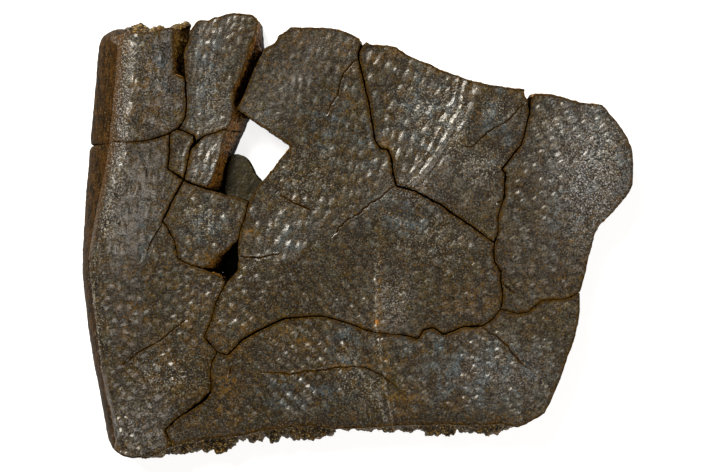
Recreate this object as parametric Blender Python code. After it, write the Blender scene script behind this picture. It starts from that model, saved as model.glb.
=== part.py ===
# Section of a fossil turtle shell, broken and glued back together from ten fragments.
# It lies on its inner face: the rolled rim runs down the left side (-X), the knobbly
# suture runs along the front side (-Y), and the other edges are broken bone.
import math
import random

import bmesh
import bpy
from mathutils import Matrix, Vector, noise

# Driving dimensions, in metres
LENGTH = 0.1225          # from the rolled rim to the far right edge
PLATE = 0.0112           # thickness of the plate beside the rim
RIM_CREST = 0.0155       # height of the rolled rim
RIM_MIDDLE = 0.0065      # height at which the rim bulges furthest out
ROLL_TOP = 0.0137        # height at which its side turns into the outer surface
RIM_UNDERCUT = 0.0026    # how far the rim curls in under itself
GLUE_LINE = 0.00032      # gap between two glued fragments
RIM_FALL = 0.0125        # how far the rim takes to fall to the plate
ROLL_POWER = 1.6         # 2 for a round shoulder of the rim, less for a flatter one
CREST_INSETS = (45.0, 20.0)   # how far its crest lies inside its edge, at the back and in front
CREST_TURN = (130.0, 145.0)   # where that begins to change, and over how much of the plan
SWELL = (0.00035, 0.00022)    # gentle waves of the outer surface
SWELL_LENGTHS = (0.034, 0.041, 0.021)
THINNING = 0.011         # loss of thickness for each metre towards the right
VAULT_DEPTH = 0.0015     # hollow of the inner face
VAULT_RADII = (0.041, 0.033)
VAULT_CENTRE = (0.012, -0.002)
SULCUS_DEPTH = 0.0004    # groove where two scutes met
SULCUS_WIDTH = 0.0016
PEBBLE_RISE = 0.00042    # ornament, above and below the smooth surface
PEBBLE_DIP = 0.00012
CELL = 0.00235           # spacing of the points that carry the ornament
EDGE_BAND = 0.0032       # smooth band beside the suture
RIM_BAND = 0.0035        # band beside the rim over which the ornament fades in
TONGUE_HEIGHT = 0.0054   # level of the smooth tongue under the open hole
PIT_FLOOR = 0.0023       # level of the floor of the diamond-shaped pit
SUTURE_TOP = 0.0100      # level at which the suture leaves the outer surface
SUTURE_MIDDLE = 0.0064   # level at which its pegs reach furthest out
SUTURE_FOOT = 0.55       # share of that reach that is left at the inner face
BROKEN_ROUGHNESS = 1.7   # relief of a broken wall, in plan units
BROKEN_GRAIN = (0.09, 420.0)  # how fine it is, in plan units and in height
WALL_MARGIN = 0.0035     # band at a broken wall's foot and top that stays straight
LIP_LEVEL = PLATE - 0.0017    # where that band begins

# Plan points are written (right, down) in a drawing of the shell seen from above,
# in which the shell is 557 units long. UNIT is one of them in metres.
UNITS_LONG = 557.0
PLAN_CENTRE = (357.0, 236.5)
UNIT = LENGTH / UNITS_LONG
BELOW = -0.002
ABOVE = 0.020

# Outer edges, clockwise as seen from above
RIM_UPPER_EDGE = [(88.6, 122), (90.6, 98), (92.6, 75), (94, 57), (95.5, 42), (98.5, 34),
                  (103, 29.6), (109, 26.2), (115, 25), (121, 25.8)]
RIM_LOWER_EDGE = [(142, 458.8), (134, 459.6), (125, 458), (116, 453), (108.6, 448), (105, 442),
                  (101.6, 422), (97, 396), (91, 366), (86, 338), (82, 303), (79.2, 278),
                  (79, 252), (80.8, 222), (82.3, 194), (84.7, 168)]
STRIP_TOP = [(196, 22), (199.5, 19.6), (208, 19.6), (213, 17), (219, 15.4), (226, 13.2),
             (234, 12), (252.4, 13.8)]
MAIN_TOP = [(267, 46), (273.4, 42.7), (276, 39.5), (278, 34.4), (283, 31.3), (290.6, 25.6),
            (301, 26.6), (322, 26.4), (333, 27.8), (351, 32), (360.5, 38)]
WEDGE_TOP = [(366.5, 39.8), (371.6, 42.7), (387, 44.3), (396, 46.2), (410, 55), (430, 63),
             (453, 73.6), (468, 78.4), (493.5, 84), (516.5, 87.7), (524.8, 88.6), (525.8, 94.5)]
RIGHT_EDGE = [(534, 91.3), (556, 93.5), (573, 98.8), (602, 104), (607, 107.4), (615, 117),
              (623, 127.5), (629, 138), (633, 149), (635, 162), (634.6, 184), (631, 193),
              (614.8, 212), (600, 226.5), (596.6, 234), (592, 252.5), (586, 277)]
LOWER_RIGHT_EDGE = [(580.9, 310), (579.5, 325), (572, 350), (560.6, 382), (552, 402.5),
                    (545.5, 414), (537.7, 420), (527, 425)]
HOLE_EDGE = [(272, 168.5), (289, 146), (267, 130.8)]

RIM_CRACK_END = (86.9, 145)
RIM_SIDE = RIM_LOWER_EDGE[5:] + [RIM_CRACK_END] + RIM_UPPER_EDGE[:6]
RIM_BACK_CORNER = 40     # beyond these the rim ends in a rounded corner
RIM_BACK_CORNER_START = 100
RIM_FRONT_CORNER = 446
CORNER_ROLL = 0.25

# Glued cracks
GAP_RIM_SIDE = [(176.5, 28.6), (175.4, 36), (175, 44), (175.4, 52), (176.2, 59), (176.2, 65),
                (176.8, 72), (184.2, 76.5)]
GAP_STRIP_SIDE = [(192.4, 27), (188.6, 33), (188, 41), (185.4, 47), (183, 55), (182.2, 61),
                  (183, 68), (184.2, 76.5)]
CRACK_A_UPPER = [(185.4, 81.6), (186.3, 99.5), (185.4, 117.3), (182.9, 122.5)]
MEET_A_C = (178, 128.5)
MEET_A_B = (170.8, 133.4)
CRACK_A_RIM = [(159.3, 137.9), (146.5, 142.3), (131, 143.2), (114.6, 142.8)]
CRACK_B = [(169.9, 145.5), (168.2, 169)]
CRACK_C_UPPER = [(185.4, 131.5), (194.4, 136.6)]
FORK_C = (195.6, 143)
CRACK_C_LOWER = [(189.9, 149.3), (188.6, 158.3), (186, 171)]
CRACK_C_RIGHT = [(205.2, 135.3), (223, 130.2)]
MEET_B_D = (183.9, 179.3)
CRACK_E = [(192.4, 183.8)]
CRACK_D = [(174.6, 196.5), (161.8, 222), (166.9, 227), (174.6, 241), (177.8, 259), (189.3, 264.6)]
CRACK_CONTACT = [(244.7, 217), (239.6, 231)]
CRACK_F_UPPER = [(217.3, 300), (210.3, 323), (204, 336.8)]
MEET_F_M = (217.3, 352.2)
CRACK_F_LOWER = [(211.7, 362), (210.3, 374.7), (211, 391.5), (200, 403), (182, 415.4), (165.4, 429.4)]
CRACK_M = [(228, 355), (233.7, 349.4), (245, 338), (256, 332), (271.6, 324), (285.6, 318.6),
           (312, 316.5), (326, 317.2), (347, 322.8), (365.6, 329.8), (376.8, 333.3), (403, 334.6),
           (418.3, 338.4), (424.4, 330), (433.6, 328), (444.3, 335), (462.7, 326.8), (484, 326),
           (493, 319.5)]
NOTCH_G = (361.8, 44)
CRACK_G = [(358.8, 52), (358.4, 59), (363.9, 81.6), (370.3, 112), (375.4, 140), (381, 148.9),
           (388.2, 149.8), (391.4, 157), (393.3, 173.8)]
MEET_G_H = (397, 185.3)
CRACK_H = [(415.3, 191.3), (438.3, 203.6), (476.5, 229.6)]
MEET_H_K = (494.9, 242.6)
CRACK_K = [(493.6, 252), (494.9, 261.7), (501, 272), (501.8, 285.5), (503, 297)]
MEET_K_L = (501, 309.5)
NOTCH_J = (530, 99)
CRACK_J = [(530, 111.8), (527, 125.6), (520.9, 145.5), (513.3, 155), (502, 168.5), (506.5, 174),
           (504.5, 197), (498, 217), (499, 229)]
CRACK_L = [(517.8, 313.6), (528.5, 312), (542, 300.9), (566.7, 299)]
EDGE_L = (581.3, 293)

# Slanting broken walls: the line where each leaves the outer surface, and its foot
STRIP_WALL_TOP = [(258.6, 20.4), (257.8, 31), (253.4, 42), (250.5, 48.5), (246.5, 64), (240, 79),
                  (233.6, 90), (234, 100), (234.5, 108), (232.5, 117), (231.4, 122)]
STRIP_WALL_FOOT = [(258.6, 20.4), (259.2, 31), (260.6, 42), (263.4, 48.4), (255.5, 64), (249, 79),
                   (244, 92), (237.7, 104.6), (236.4, 108.4), (246, 116.8), (242.8, 121)]
MEET_C_WALL_TOP = (226.9, 130)
MEET_C_WALL_FOOT = (239.5, 130)
CHIP_WALL_TOP = [(223.7, 137), (221.8, 145), (220.2, 156), (216.7, 170), (211.6, 182), (207.5, 188.4),
                 (206, 188.3)]
CHIP_WALL_FOOT = [(235.8, 138), (231.5, 148), (227.5, 158), (224.6, 168), (223, 179), (221.8, 193.3),
                  (209, 189.5)]
TONGUE_LIP = [(221.9, 193.6), (226, 195.5), (236, 196.8), (248.2, 200.6)]
TONGUE_FOOT = [(223, 179), (224.6, 168), (227.5, 158), (229.4, 153.4), (233, 152.5), (237.1, 153.4),
               (241.5, 155.6), (244.7, 158.6), (249.2, 166), (252.4, 173.6)]
MEET_TONGUE_HOLE = (260.5, 181.8)
TONGUE_SIDE = [(256, 189.5)]
MEET_TONGUE_LIP = (248.6, 201)
PIT_WALL_TOP = [(226, 250.5), (214, 260), (207, 265.4)]
PIT_WALL_FOOT = [(229, 250), (222.3, 261), (218.7, 274.4)]
PIT_TOP = (237.7, 241.4)
PIT_LEFT = (202.6, 268.8)
PIT_BOTTOM = (226.4, 282.1)
PIT_RIM_EDGE = [(218.7, 274.4)]
PIT_MAIN_EDGE = [(232, 276), (238, 269.5), (238, 255)]
PIT_MAIN_FOOT = [(218.7, 274.4), (222.3, 261), (229, 250)]

# Sutures: the lip where the outer surface ends, and the tips of the pegs beyond it
FRONT_LIP = [(518, 428.5), (510, 426.5), (500, 424.5), (487, 425.5), (475, 426.5), (455, 426),
             (440, 425), (410, 426.5), (380, 428), (372, 429), (355, 430), (337, 430), (326, 428.7),
             (316, 426), (298, 426.6), (279, 430), (270, 430), (252, 434.3), (231, 437.8),
             (210, 439.5), (186, 442.4), (172, 446.6)]
FRONT_TIPS = [(518, 428.5), (510, 431), (500, 435), (492, 437), (478, 436), (466, 434.8),
              (459, 432), (453, 435.5), (447, 437), (426, 437.6), (420, 432.4), (415.5, 431),
              (411, 434.5), (403, 434.5), (397, 432), (391, 434.5), (385, 434), (378, 429.4),
              (369, 433.5), (363, 433.4), (358, 431.2), (334, 431.3), (331, 437.4), (326, 437),
              (318, 441), (304, 442.6), (294, 442), (289, 438.8), (281, 439), (276, 443),
              (271, 443.4), (264, 438.8), (257, 443.4), (249, 443.6), (246, 441), (237, 442.5),
              (227, 452.6), (218.5, 457), (211, 452.6), (200, 452.4), (190, 454), (184, 457),
              (172, 457)]
MEET_F_LIP = (171.8, 447)
MEET_F_TIP = (171.8, 456.6)
CORNER_LIP = [(165.5, 450.5), (160, 453.5), (154, 455.6), (148, 457.4)]
CORNER_TIPS = [(165.5, 454.6), (160, 459.6), (154, 461), (148, 459.6)]
BACK_LIP = [(127, 28.4), (130, 32), (136, 33.4), (141, 33.6), (145, 33.8), (150, 33.8), (155.5, 33.2),
            (159, 32), (162.5, 30.2), (167, 28), (170, 27.3), (173, 27), (175.4, 27.6)]
BACK_TIPS = [(127, 27.6), (130, 24), (136, 22.7), (141, 24), (145, 27.4), (150, 27.2), (155.5, 24),
             (159, 25.6), (162.5, 29), (171, 25.5), (177, 22.3), (182, 21), (187, 22.6)]
FRONT_STATIONS = 46

# Lines of the outer surface
SULCUS = [(468, 78), (460, 110), (447, 135), (432, 162), (412, 183)]
SCUTE_EDGE = [(375, 265), (377, 330), (385, 390), (393, 427)]
RIM_LINE = [(102, 24), (96, 45), (92, 90), (88, 125), (83, 196), (79, 255), (80, 286), (86, 338),
            (94.6, 384), (105, 442), (110, 462)]

# Rows of the ornament in each fragment: their angle in degrees, and the stretch along them
ROWS = {
    "rim_upper": (80, 1.05),
    "upper_strip": (86, 1.25),
    "sliver": (85, 1.1),
    "inner_chip": (80, 1.15),
    "middle_left": (75, 1.1),
    "rim_lower": (48, 1.0),
    "main_plate": (66, 1.2),
    "upper_wedge": (62, 1.3),
    "right_plate": (25, 1.25),
    "lower_plate": (12, 1.15),
}

COLOURS = {
    "rim_upper": (0.060, 0.040, 0.026),
    "upper_strip": (0.046, 0.038, 0.030),
    "sliver": (0.050, 0.038, 0.026),
    "inner_chip": (0.048, 0.038, 0.028),
    "middle_left": (0.044, 0.036, 0.028),
    "rim_lower": (0.056, 0.040, 0.026),
    "main_plate": (0.044, 0.036, 0.030),
    "upper_wedge": (0.038, 0.034, 0.032),
    "right_plate": (0.042, 0.034, 0.030),
    "lower_plate": (0.046, 0.034, 0.026),
}


def clamp01(value):
    return min(1.0, max(0.0, value))


def smooth_step(value):
    value = clamp01(value)
    return value * value * (3.0 - 2.0 * value)


def to_metres(point):
    return ((point[0] - PLAN_CENTRE[0]) * UNIT, (PLAN_CENTRE[1] - point[1]) * UNIT)


def to_plan(x, y):
    return (x / UNIT + PLAN_CENTRE[0], PLAN_CENTRE[1] - y / UNIT)


def mix(a, b, share):
    return (a[0] + (b[0] - a[0]) * share, a[1] + (b[1] - a[1]) * share)


def along(points, count):
    # count points, equally spaced along an open line, both ends included
    lengths = [math.dist(a, b) for a, b in zip(points, points[1:])]
    total = sum(lengths)
    result = []
    for index in range(count):
        target = total * index / (count - 1)
        segment = 0
        while segment < len(lengths) - 1 and target > lengths[segment]:
            target -= lengths[segment]
            segment += 1
        result.append(mix(points[segment], points[segment + 1], min(1.0, target / lengths[segment])))
    return result


def line_at(points, x):
    # height of a line that runs from right to left, at a given x
    for a, b in zip(points, points[1:]):
        if b[0] <= x <= a[0]:
            return mix(a, b, (a[0] - x) / (a[0] - b[0]))[1]
    return points[-1][1]


def across_line(points, y):
    # x of a line that runs down the plan, at a given y
    for a, b in zip(points, points[1:]):
        if a[1] <= y <= b[1]:
            return mix(a, b, (y - a[1]) / (b[1] - a[1]))[0]
    return points[0][0] if y < points[0][1] else points[-1][0]


def distance_to_line(points, point):
    best = math.inf
    for a, b in zip(points, points[1:]):
        dx, dy = b[0] - a[0], b[1] - a[1]
        share = clamp01(((point[0] - a[0]) * dx + (point[1] - a[1]) * dy) / (dx * dx + dy * dy))
        best = min(best, math.dist(point, mix(a, b, share)))
    return best


def inward(points, shifts, closed=False):
    # moves each point of a clockwise outline towards the inside
    count = len(points)
    moved = []
    for index, point in enumerate(points):
        before = points[index - 1] if closed or index > 0 else point
        after = points[(index + 1) % count] if closed or index < count - 1 else point
        first = Vector((point[0] - before[0], point[1] - before[1]))
        second = Vector((after[0] - point[0], after[1] - point[1]))
        if first.length < 1e-6:
            first = second
        if second.length < 1e-6:
            second = first
        first.normalize()
        second.normalize()
        middle = first + second
        if middle.length < 1e-3:
            middle = first
        middle.normalize()
        reach = 1.0 / max(0.45, middle.dot(first))
        moved.append((point[0] - middle.y * shifts[index] * reach,
                      point[1] + middle.x * shifts[index] * reach))
    return moved


# Kinds of edge: each is a function of the level above the ground that gives the edge's points there

def straight(points):
    return lambda z: points


def broken(points):
    def at(z):
        strength = smooth_step(z / WALL_MARGIN) * smooth_step((LIP_LEVEL - z) / WALL_MARGIN)
        shifts = []
        for x, y in points:
            place = Vector((x * BROKEN_GRAIN[0], y * BROKEN_GRAIN[0], z * BROKEN_GRAIN[1]))
            bump = 0.5 + 0.5 * noise.noise(place)
            shifts.append(BROKEN_ROUGHNESS * strength * bump)
        return inward(points, shifts)
    return at


def roll_inset(z, crest):
    # how far the side of the rolled rim lies inside its edge at a given level, in plan units
    if z >= RIM_MIDDLE:
        rise = clamp01((min(z, ROLL_TOP) - RIM_MIDDLE) / (RIM_CREST - RIM_MIDDLE))
        return crest * (1.0 - (1.0 - rise ** ROLL_POWER) ** (1.0 / ROLL_POWER))
    drop = clamp01((RIM_MIDDLE - z) / RIM_MIDDLE)
    return RIM_UNDERCUT / UNIT * (1.0 - math.sqrt(1.0 - drop * drop))


def rolled(points):
    def at(z):
        shifts = []
        for x, y in points:
            at_corner = y < RIM_BACK_CORNER and x > RIM_BACK_CORNER_START or y > RIM_FRONT_CORNER
            crest = crest_inset(y) * (CORNER_ROLL if at_corner else 1.0)
            shifts.append(roll_inset(z, crest))
        return inward(points, shifts)
    return at


def rolled_joint(point):
    # where a glued crack meets the rim: both fragments share this point at every level
    return lambda z: [(point[0] + roll_inset(z, crest_inset(point[1])), point[1])]


def suture(lip, tips):
    def at(z):
        if z >= SUTURE_MIDDLE:
            reach = smooth_step((SUTURE_TOP - z) / (SUTURE_TOP - SUTURE_MIDDLE))
        else:
            reach = SUTURE_FOOT + (1.0 - SUTURE_FOOT) * smooth_step(z / SUTURE_MIDDLE)
        return [mix(a, b, reach) for a, b in zip(lip, tips)]
    return at


def slanted(top, foot):
    return lambda z: [mix(b, a, clamp01(z / PLATE)) for a, b in zip(top, foot)]


def stepped(top, foot, level):
    return lambda z: top if z > level else foot


def crest_inset(y):
    # how far the crest of the rim lies inside its edge, in plan units
    back, front = CREST_INSETS
    return back + (front - back) * smooth_step((y - CREST_TURN[0]) / CREST_TURN[1])


def front_suture():
    lip = []
    tips = []
    for index in range(1, FRONT_STATIONS):
        x = FRONT_LIP[0][0] + (FRONT_LIP[-1][0] - FRONT_LIP[0][0]) * index / FRONT_STATIONS
        a = (x, line_at(FRONT_LIP, x))
        b = (x, line_at(FRONT_TIPS, x))
        lip.append(a)
        tips.append(mix(a, b, 0.72 if index % 2 else 1.0))
    return suture(lip, tips)


def backwards(points):
    return list(reversed(points))


def roll_height(point, crest):
    # height of the rim's shoulder, which is the crest's beyond its reach
    total = 0.0
    for line, width in ((RIM_SIDE, crest), (RIM_UPPER_EDGE[6:], crest * CORNER_ROLL),
                        (RIM_LOWER_EDGE[:6], crest * CORNER_ROLL)):
        total += (1.0 - clamp01(distance_to_line(line, point) / width)) ** ROLL_POWER
    return RIM_MIDDLE + (RIM_CREST - RIM_MIDDLE) * (1.0 - clamp01(total)) ** (1.0 / ROLL_POWER)


def outer_surface(x, y):
    # smooth height of the outer surface, with no ornament
    px, py = to_plan(x, y)
    inset = px - across_line(RIM_LINE, py)
    crest = crest_inset(py)
    plate = PLATE - THINNING * max(0.0, x + 0.03)
    wave_x, wave_y, wave = SWELL_LENGTHS
    plate += SWELL[0] * math.sin(px * wave_x + 0.8) * math.sin(py * wave_y)
    plate += SWELL[1] * noise.noise(Vector((px * wave, py * wave, 1.3)))
    fall = 1.0 - smooth_step((inset - crest) * UNIT / RIM_FALL)
    height = min(plate + (RIM_CREST - plate) * fall, roll_height((px, py), crest))
    groove = math.exp(-(distance_to_line(SULCUS, (px, py)) * UNIT / SULCUS_WIDTH) ** 2)
    groove += math.exp(-(distance_to_line(SCUTE_EDGE, (px, py)) * UNIT / SULCUS_WIDTH) ** 2)
    return height - SULCUS_DEPTH * groove


def ornament_strength(x, y):
    # the ornament fades out on the rim, along the suture and beside the sulcus
    px, py = to_plan(x, y)
    rim = smooth_step((px - across_line(RIM_LINE, py) - crest_inset(py) * 0.6) * UNIT / RIM_BAND)
    lip = line_at(FRONT_LIP, min(FRONT_LIP[0][0], max(FRONT_LIP[-1][0], px)))
    front = smooth_step((lip - py) * UNIT / EDGE_BAND - 0.4)
    return rim * front


def relief_block(name, outline):
    # a block whose upper face carries the shell's outer surface, and whose foot is flat
    angle, stretch = ROWS[name]
    turn = Matrix.Rotation(math.radians(angle), 2)
    metres = [Vector(to_metres(point)) for point in outline]
    turned = [turn.inverted() @ point for point in metres]
    low = Vector((min(p.x for p in turned), min(p.y for p in turned)))
    high = Vector((max(p.x for p in turned), max(p.y for p in turned)))
    step_x = CELL * stretch
    step_y = CELL * math.sqrt(0.75) / math.sqrt(stretch)
    columns = math.ceil((high.x - low.x) / step_x) + 4
    rows = math.ceil((high.y - low.y) / step_y) + 4
    centre = (low + high) / 2
    rng = random.Random(len(name) * 31 + ord(name[0]))

    block = bmesh.new()
    bmesh.ops.create_grid(block, x_segments=columns, y_segments=rows, size=0.5)
    rise = {}
    for vertex in block.verts:
        column = round((vertex.co.x + 0.5) * columns)
        row = round((vertex.co.y + 0.5) * rows)
        flat = Vector(((column - columns / 2 + 0.5 * (row % 2)) * step_x, (row - rows / 2) * step_y))
        place = turn @ (flat + centre)
        pebble = (column - row // 2 - row) % 3 == 0
        rise[vertex] = (PEBBLE_RISE if pebble else -PEBBLE_DIP) * rng.uniform(0.6, 1.25)
        vertex.co = (place.x, place.y, 0.0)
    bmesh.ops.triangulate(block, faces=block.faces[:], quad_method='SHORT_EDGE')
    for vertex in block.verts:
        x, y = vertex.co.x, vertex.co.y
        vertex.co.z = outer_surface(x, y) + rise[vertex] * ornament_strength(x, y)
    border = [edge for edge in block.edges if edge.is_boundary]
    skirt = bmesh.ops.extrude_edge_only(block, edges=border)["geom"]
    for item in skirt:
        if isinstance(item, bmesh.types.BMVert):
            item.co.z = 0.0
    foot = [edge for edge in block.edges if edge.is_boundary]
    bmesh.ops.contextual_create(block, geom=foot)
    bmesh.ops.recalc_face_normals(block, faces=block.faces[:])
    mesh = bpy.data.meshes.new(name)
    block.to_mesh(mesh)
    block.free()
    return mesh


def outline_cutter(name, edges, levels, collection):
    # a column with the fragment's outline at each level, half a glue line inside the cracks
    rings = []
    for level in levels:
        points = [point for edge in edges for point in edge(level)]
        points = inward(points, [GLUE_LINE / 2 / UNIT] * len(points), closed=True)
        rings.append([(*to_metres(point), level) for point in points])
    column = bmesh.new()
    layers = [[column.verts.new(point) for point in ring] for ring in rings]
    count = len(layers[0])
    for lower, upper in zip(layers, layers[1:]):
        for index in range(count):
            after = (index + 1) % count
            column.faces.new((lower[index], lower[after], upper[after], upper[index]))
    column.faces.new(layers[0])
    column.faces.new(layers[-1])
    bmesh.ops.recalc_face_normals(column, faces=column.faces[:])
    bmesh.ops.dissolve_limit(column, angle_limit=math.radians(0.2), verts=column.verts[:],
                             edges=column.edges[:])
    bmesh.ops.triangulate(column, faces=column.faces[:])
    mesh = bpy.data.meshes.new(name)
    column.to_mesh(mesh)
    column.free()
    cutter = bpy.data.objects.new(name, mesh)
    cutter.hide_render = True
    cutter.display_type = 'WIRE'
    collection.objects.link(cutter)
    return cutter, rings


def vault_cutter(collection):
    # the low dome that hollows the inner face
    mesh = bpy.data.meshes.new("vault_cutter")
    dome = bmesh.new()
    bmesh.ops.create_uvsphere(dome, u_segments=28, v_segments=10, radius=1.0,
                              matrix=Matrix.Diagonal((*VAULT_RADII, VAULT_DEPTH, 1.0)))
    bmesh.ops.translate(dome, vec=(*VAULT_CENTRE, 0.0), verts=dome.verts[:])
    dome.to_mesh(mesh)
    dome.free()
    cutter = bpy.data.objects.new("vault_cutter", mesh)
    cutter.hide_render = True
    cutter.display_type = 'WIRE'
    collection.objects.link(cutter)
    return cutter


def bone_material(name):
    material = bpy.data.materials.new(name)
    material.use_nodes = True
    shader = material.node_tree.nodes["Principled BSDF"]
    shader.inputs["Base Color"].default_value = (*COLOURS[name], 1.0)
    shader.inputs["Roughness"].default_value = 0.45
    shader.inputs["Metallic"].default_value = 0.0
    return material


def add_cut(fragment, label, cutter, operation):
    cut = fragment.modifiers.new(label, 'BOOLEAN')
    cut.operation = operation
    cut.solver = 'EXACT'
    cut.object = cutter


def fragment_edges():
    # the outline of each fragment, clockwise as seen from above
    glued = straight
    tongue_lip = along(TONGUE_LIP, len(TONGUE_FOOT) + len(TONGUE_SIDE) + 3)[1:-1]
    tongue_foot = TONGUE_FOOT + [MEET_TONGUE_HOLE] + TONGUE_SIDE
    front_joint = suture([MEET_F_LIP], [MEET_F_TIP])
    wall_meet_c = slanted([MEET_C_WALL_TOP], [MEET_C_WALL_FOOT])
    return {
        "rim_upper": [
            rolled_joint(RIM_CRACK_END), rolled(RIM_UPPER_EDGE), suture(BACK_LIP, BACK_TIPS),
            slanted(GAP_RIM_SIDE, GAP_STRIP_SIDE), glued(CRACK_A_UPPER + [MEET_A_C, MEET_A_B]),
            glued(CRACK_A_RIM)],
        "upper_strip": [
            broken(STRIP_TOP), slanted(STRIP_WALL_TOP, STRIP_WALL_FOOT), wall_meet_c,
            glued(backwards(CRACK_C_RIGHT) + [FORK_C] + backwards(CRACK_C_UPPER) + [MEET_A_C]),
            glued(backwards(CRACK_A_UPPER)), glued(backwards(GAP_STRIP_SIDE))],
        "sliver": [
            glued([MEET_A_C] + CRACK_C_UPPER + [FORK_C] + CRACK_C_LOWER + [MEET_B_D]),
            glued(backwards(CRACK_B) + [MEET_A_B])],
        "inner_chip": [
            glued([FORK_C] + CRACK_C_RIGHT), wall_meet_c, slanted(CHIP_WALL_TOP, CHIP_WALL_FOOT),
            glued(backwards(CRACK_E) + [MEET_B_D] + backwards(CRACK_C_LOWER))],
        "middle_left": [
            glued([MEET_B_D] + CRACK_E + CHIP_WALL_FOOT[:-3:-1]),
            stepped(tongue_lip, tongue_foot, TONGUE_HEIGHT), glued([MEET_TONGUE_LIP] + CRACK_CONTACT),
            glued([PIT_TOP]), slanted(PIT_WALL_TOP, PIT_WALL_FOOT), glued([PIT_LEFT]),
            glued(backwards(CRACK_D))],
        "rim_lower": [
            rolled_joint(RIM_CRACK_END),
            glued(backwards(CRACK_A_RIM) + [MEET_A_B] + CRACK_B + [MEET_B_D]),
            glued(CRACK_D + [PIT_LEFT]), broken(PIT_RIM_EDGE), glued([PIT_BOTTOM] + CRACK_F_UPPER),
            glued([MEET_F_M] + CRACK_F_LOWER), front_joint, suture(CORNER_LIP, CORNER_TIPS),
            rolled(RIM_LOWER_EDGE)],
        "main_plate": [
            broken(MAIN_TOP), glued([NOTCH_G] + CRACK_G + [MEET_G_H] + CRACK_H + [MEET_H_K]),
            glued(CRACK_K + [MEET_K_L] + backwards(CRACK_M) + [MEET_F_M]),
            glued(backwards(CRACK_F_UPPER) + [PIT_BOTTOM]),
            stepped(PIT_MAIN_EDGE, PIT_MAIN_FOOT, PIT_FLOOR), glued([PIT_TOP]),
            glued(backwards(CRACK_CONTACT) + [MEET_TONGUE_LIP] + backwards(TONGUE_SIDE)),
            glued([MEET_TONGUE_HOLE]), broken(HOLE_EDGE),
            glued(STRIP_WALL_FOOT[9:2:-1])],
        "upper_wedge": [
            glued([NOTCH_G]), broken(WEDGE_TOP), glued([NOTCH_J] + CRACK_J + [MEET_H_K]),
            glued(backwards(CRACK_H) + [MEET_G_H] + backwards(CRACK_G))],
        "right_plate": [
            glued([NOTCH_J]), broken(RIGHT_EDGE), glued([EDGE_L] + backwards(CRACK_L)),
            glued([MEET_K_L] + backwards(CRACK_K) + [MEET_H_K] + backwards(CRACK_J))],
        "lower_plate": [
            glued([MEET_F_M] + CRACK_M + [MEET_K_L] + CRACK_L + [EDGE_L]), broken(LOWER_RIGHT_EDGE),
            glued([FRONT_LIP[0]]), front_suture(), front_joint, glued(backwards(CRACK_F_LOWER))],
    }


PLAIN_LEVELS = [BELOW, 0.0, WALL_MARGIN, 0.0068, LIP_LEVEL, ABOVE]
TWO_LEVELS = [BELOW, ABOVE]
SLANT_LEVELS = [BELOW, 0.0, WALL_MARGIN, 0.0068, LIP_LEVEL, PLATE, ABOVE]
LEVELS = {
    "rim_upper": [BELOW, 0.0, 0.0009, 0.003, RIM_MIDDLE, 0.0083, SUTURE_TOP, PLATE, 0.0125, ROLL_TOP,
                  ABOVE],
    "upper_strip": SLANT_LEVELS,
    "sliver": TWO_LEVELS,
    "inner_chip": [BELOW, 0.0, PLATE, ABOVE],
    "middle_left": [BELOW, 0.0, TONGUE_HEIGHT, TONGUE_HEIGHT + 0.0002, PLATE, ABOVE],
    "rim_lower": [BELOW, 0.0, 0.0009, 0.003, RIM_MIDDLE, 0.0083, SUTURE_TOP, PLATE, 0.0125, ROLL_TOP,
                  ABOVE],
    "main_plate": [BELOW, 0.0, PIT_FLOOR, PIT_FLOOR + 0.0002, 0.0040, 0.0068, LIP_LEVEL, ABOVE],
    "upper_wedge": PLAIN_LEVELS,
    "right_plate": PLAIN_LEVELS,
    "lower_plate": [BELOW, 0.0, 0.0032, SUTURE_MIDDLE, 0.0082, SUTURE_TOP, ABOVE],
}


def main():
    for old in list(bpy.data.objects):
        bpy.data.objects.remove(old)
    shell = bpy.data.collections.new("fossil_turtle_shell")
    cutters = bpy.data.collections.new("cutters")
    bpy.context.scene.collection.children.link(shell)
    bpy.context.scene.collection.children.link(cutters)
    root = bpy.data.objects.new("shell_origin", None)
    shell.objects.link(root)

    vault = vault_cutter(cutters)
    for name, edges in fragment_edges().items():
        column, rings = outline_cutter(name + "_outline", edges, LEVELS[name], cutters)
        widest = [to_plan(x, y) for ring in rings for x, y, _ in ring]
        fragment = bpy.data.objects.new(name, relief_block(name, widest))
        fragment.data.materials.append(bone_material(name))
        fragment.parent = root
        shell.objects.link(fragment)
        add_cut(fragment, "outline", column, 'INTERSECT')
        add_cut(fragment, "inner_face", vault, 'DIFFERENCE')


main()
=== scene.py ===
# A section of fossil turtle shell: ten fragments of dark brown bone, glued together and lying
# on their inner face. Seen from above the rolled rim is on the left and the suture in front.
import math

import bpy
import numpy as np
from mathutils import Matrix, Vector, kdtree, noise
from mathutils.geometry import delaunay_2d_cdt


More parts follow.
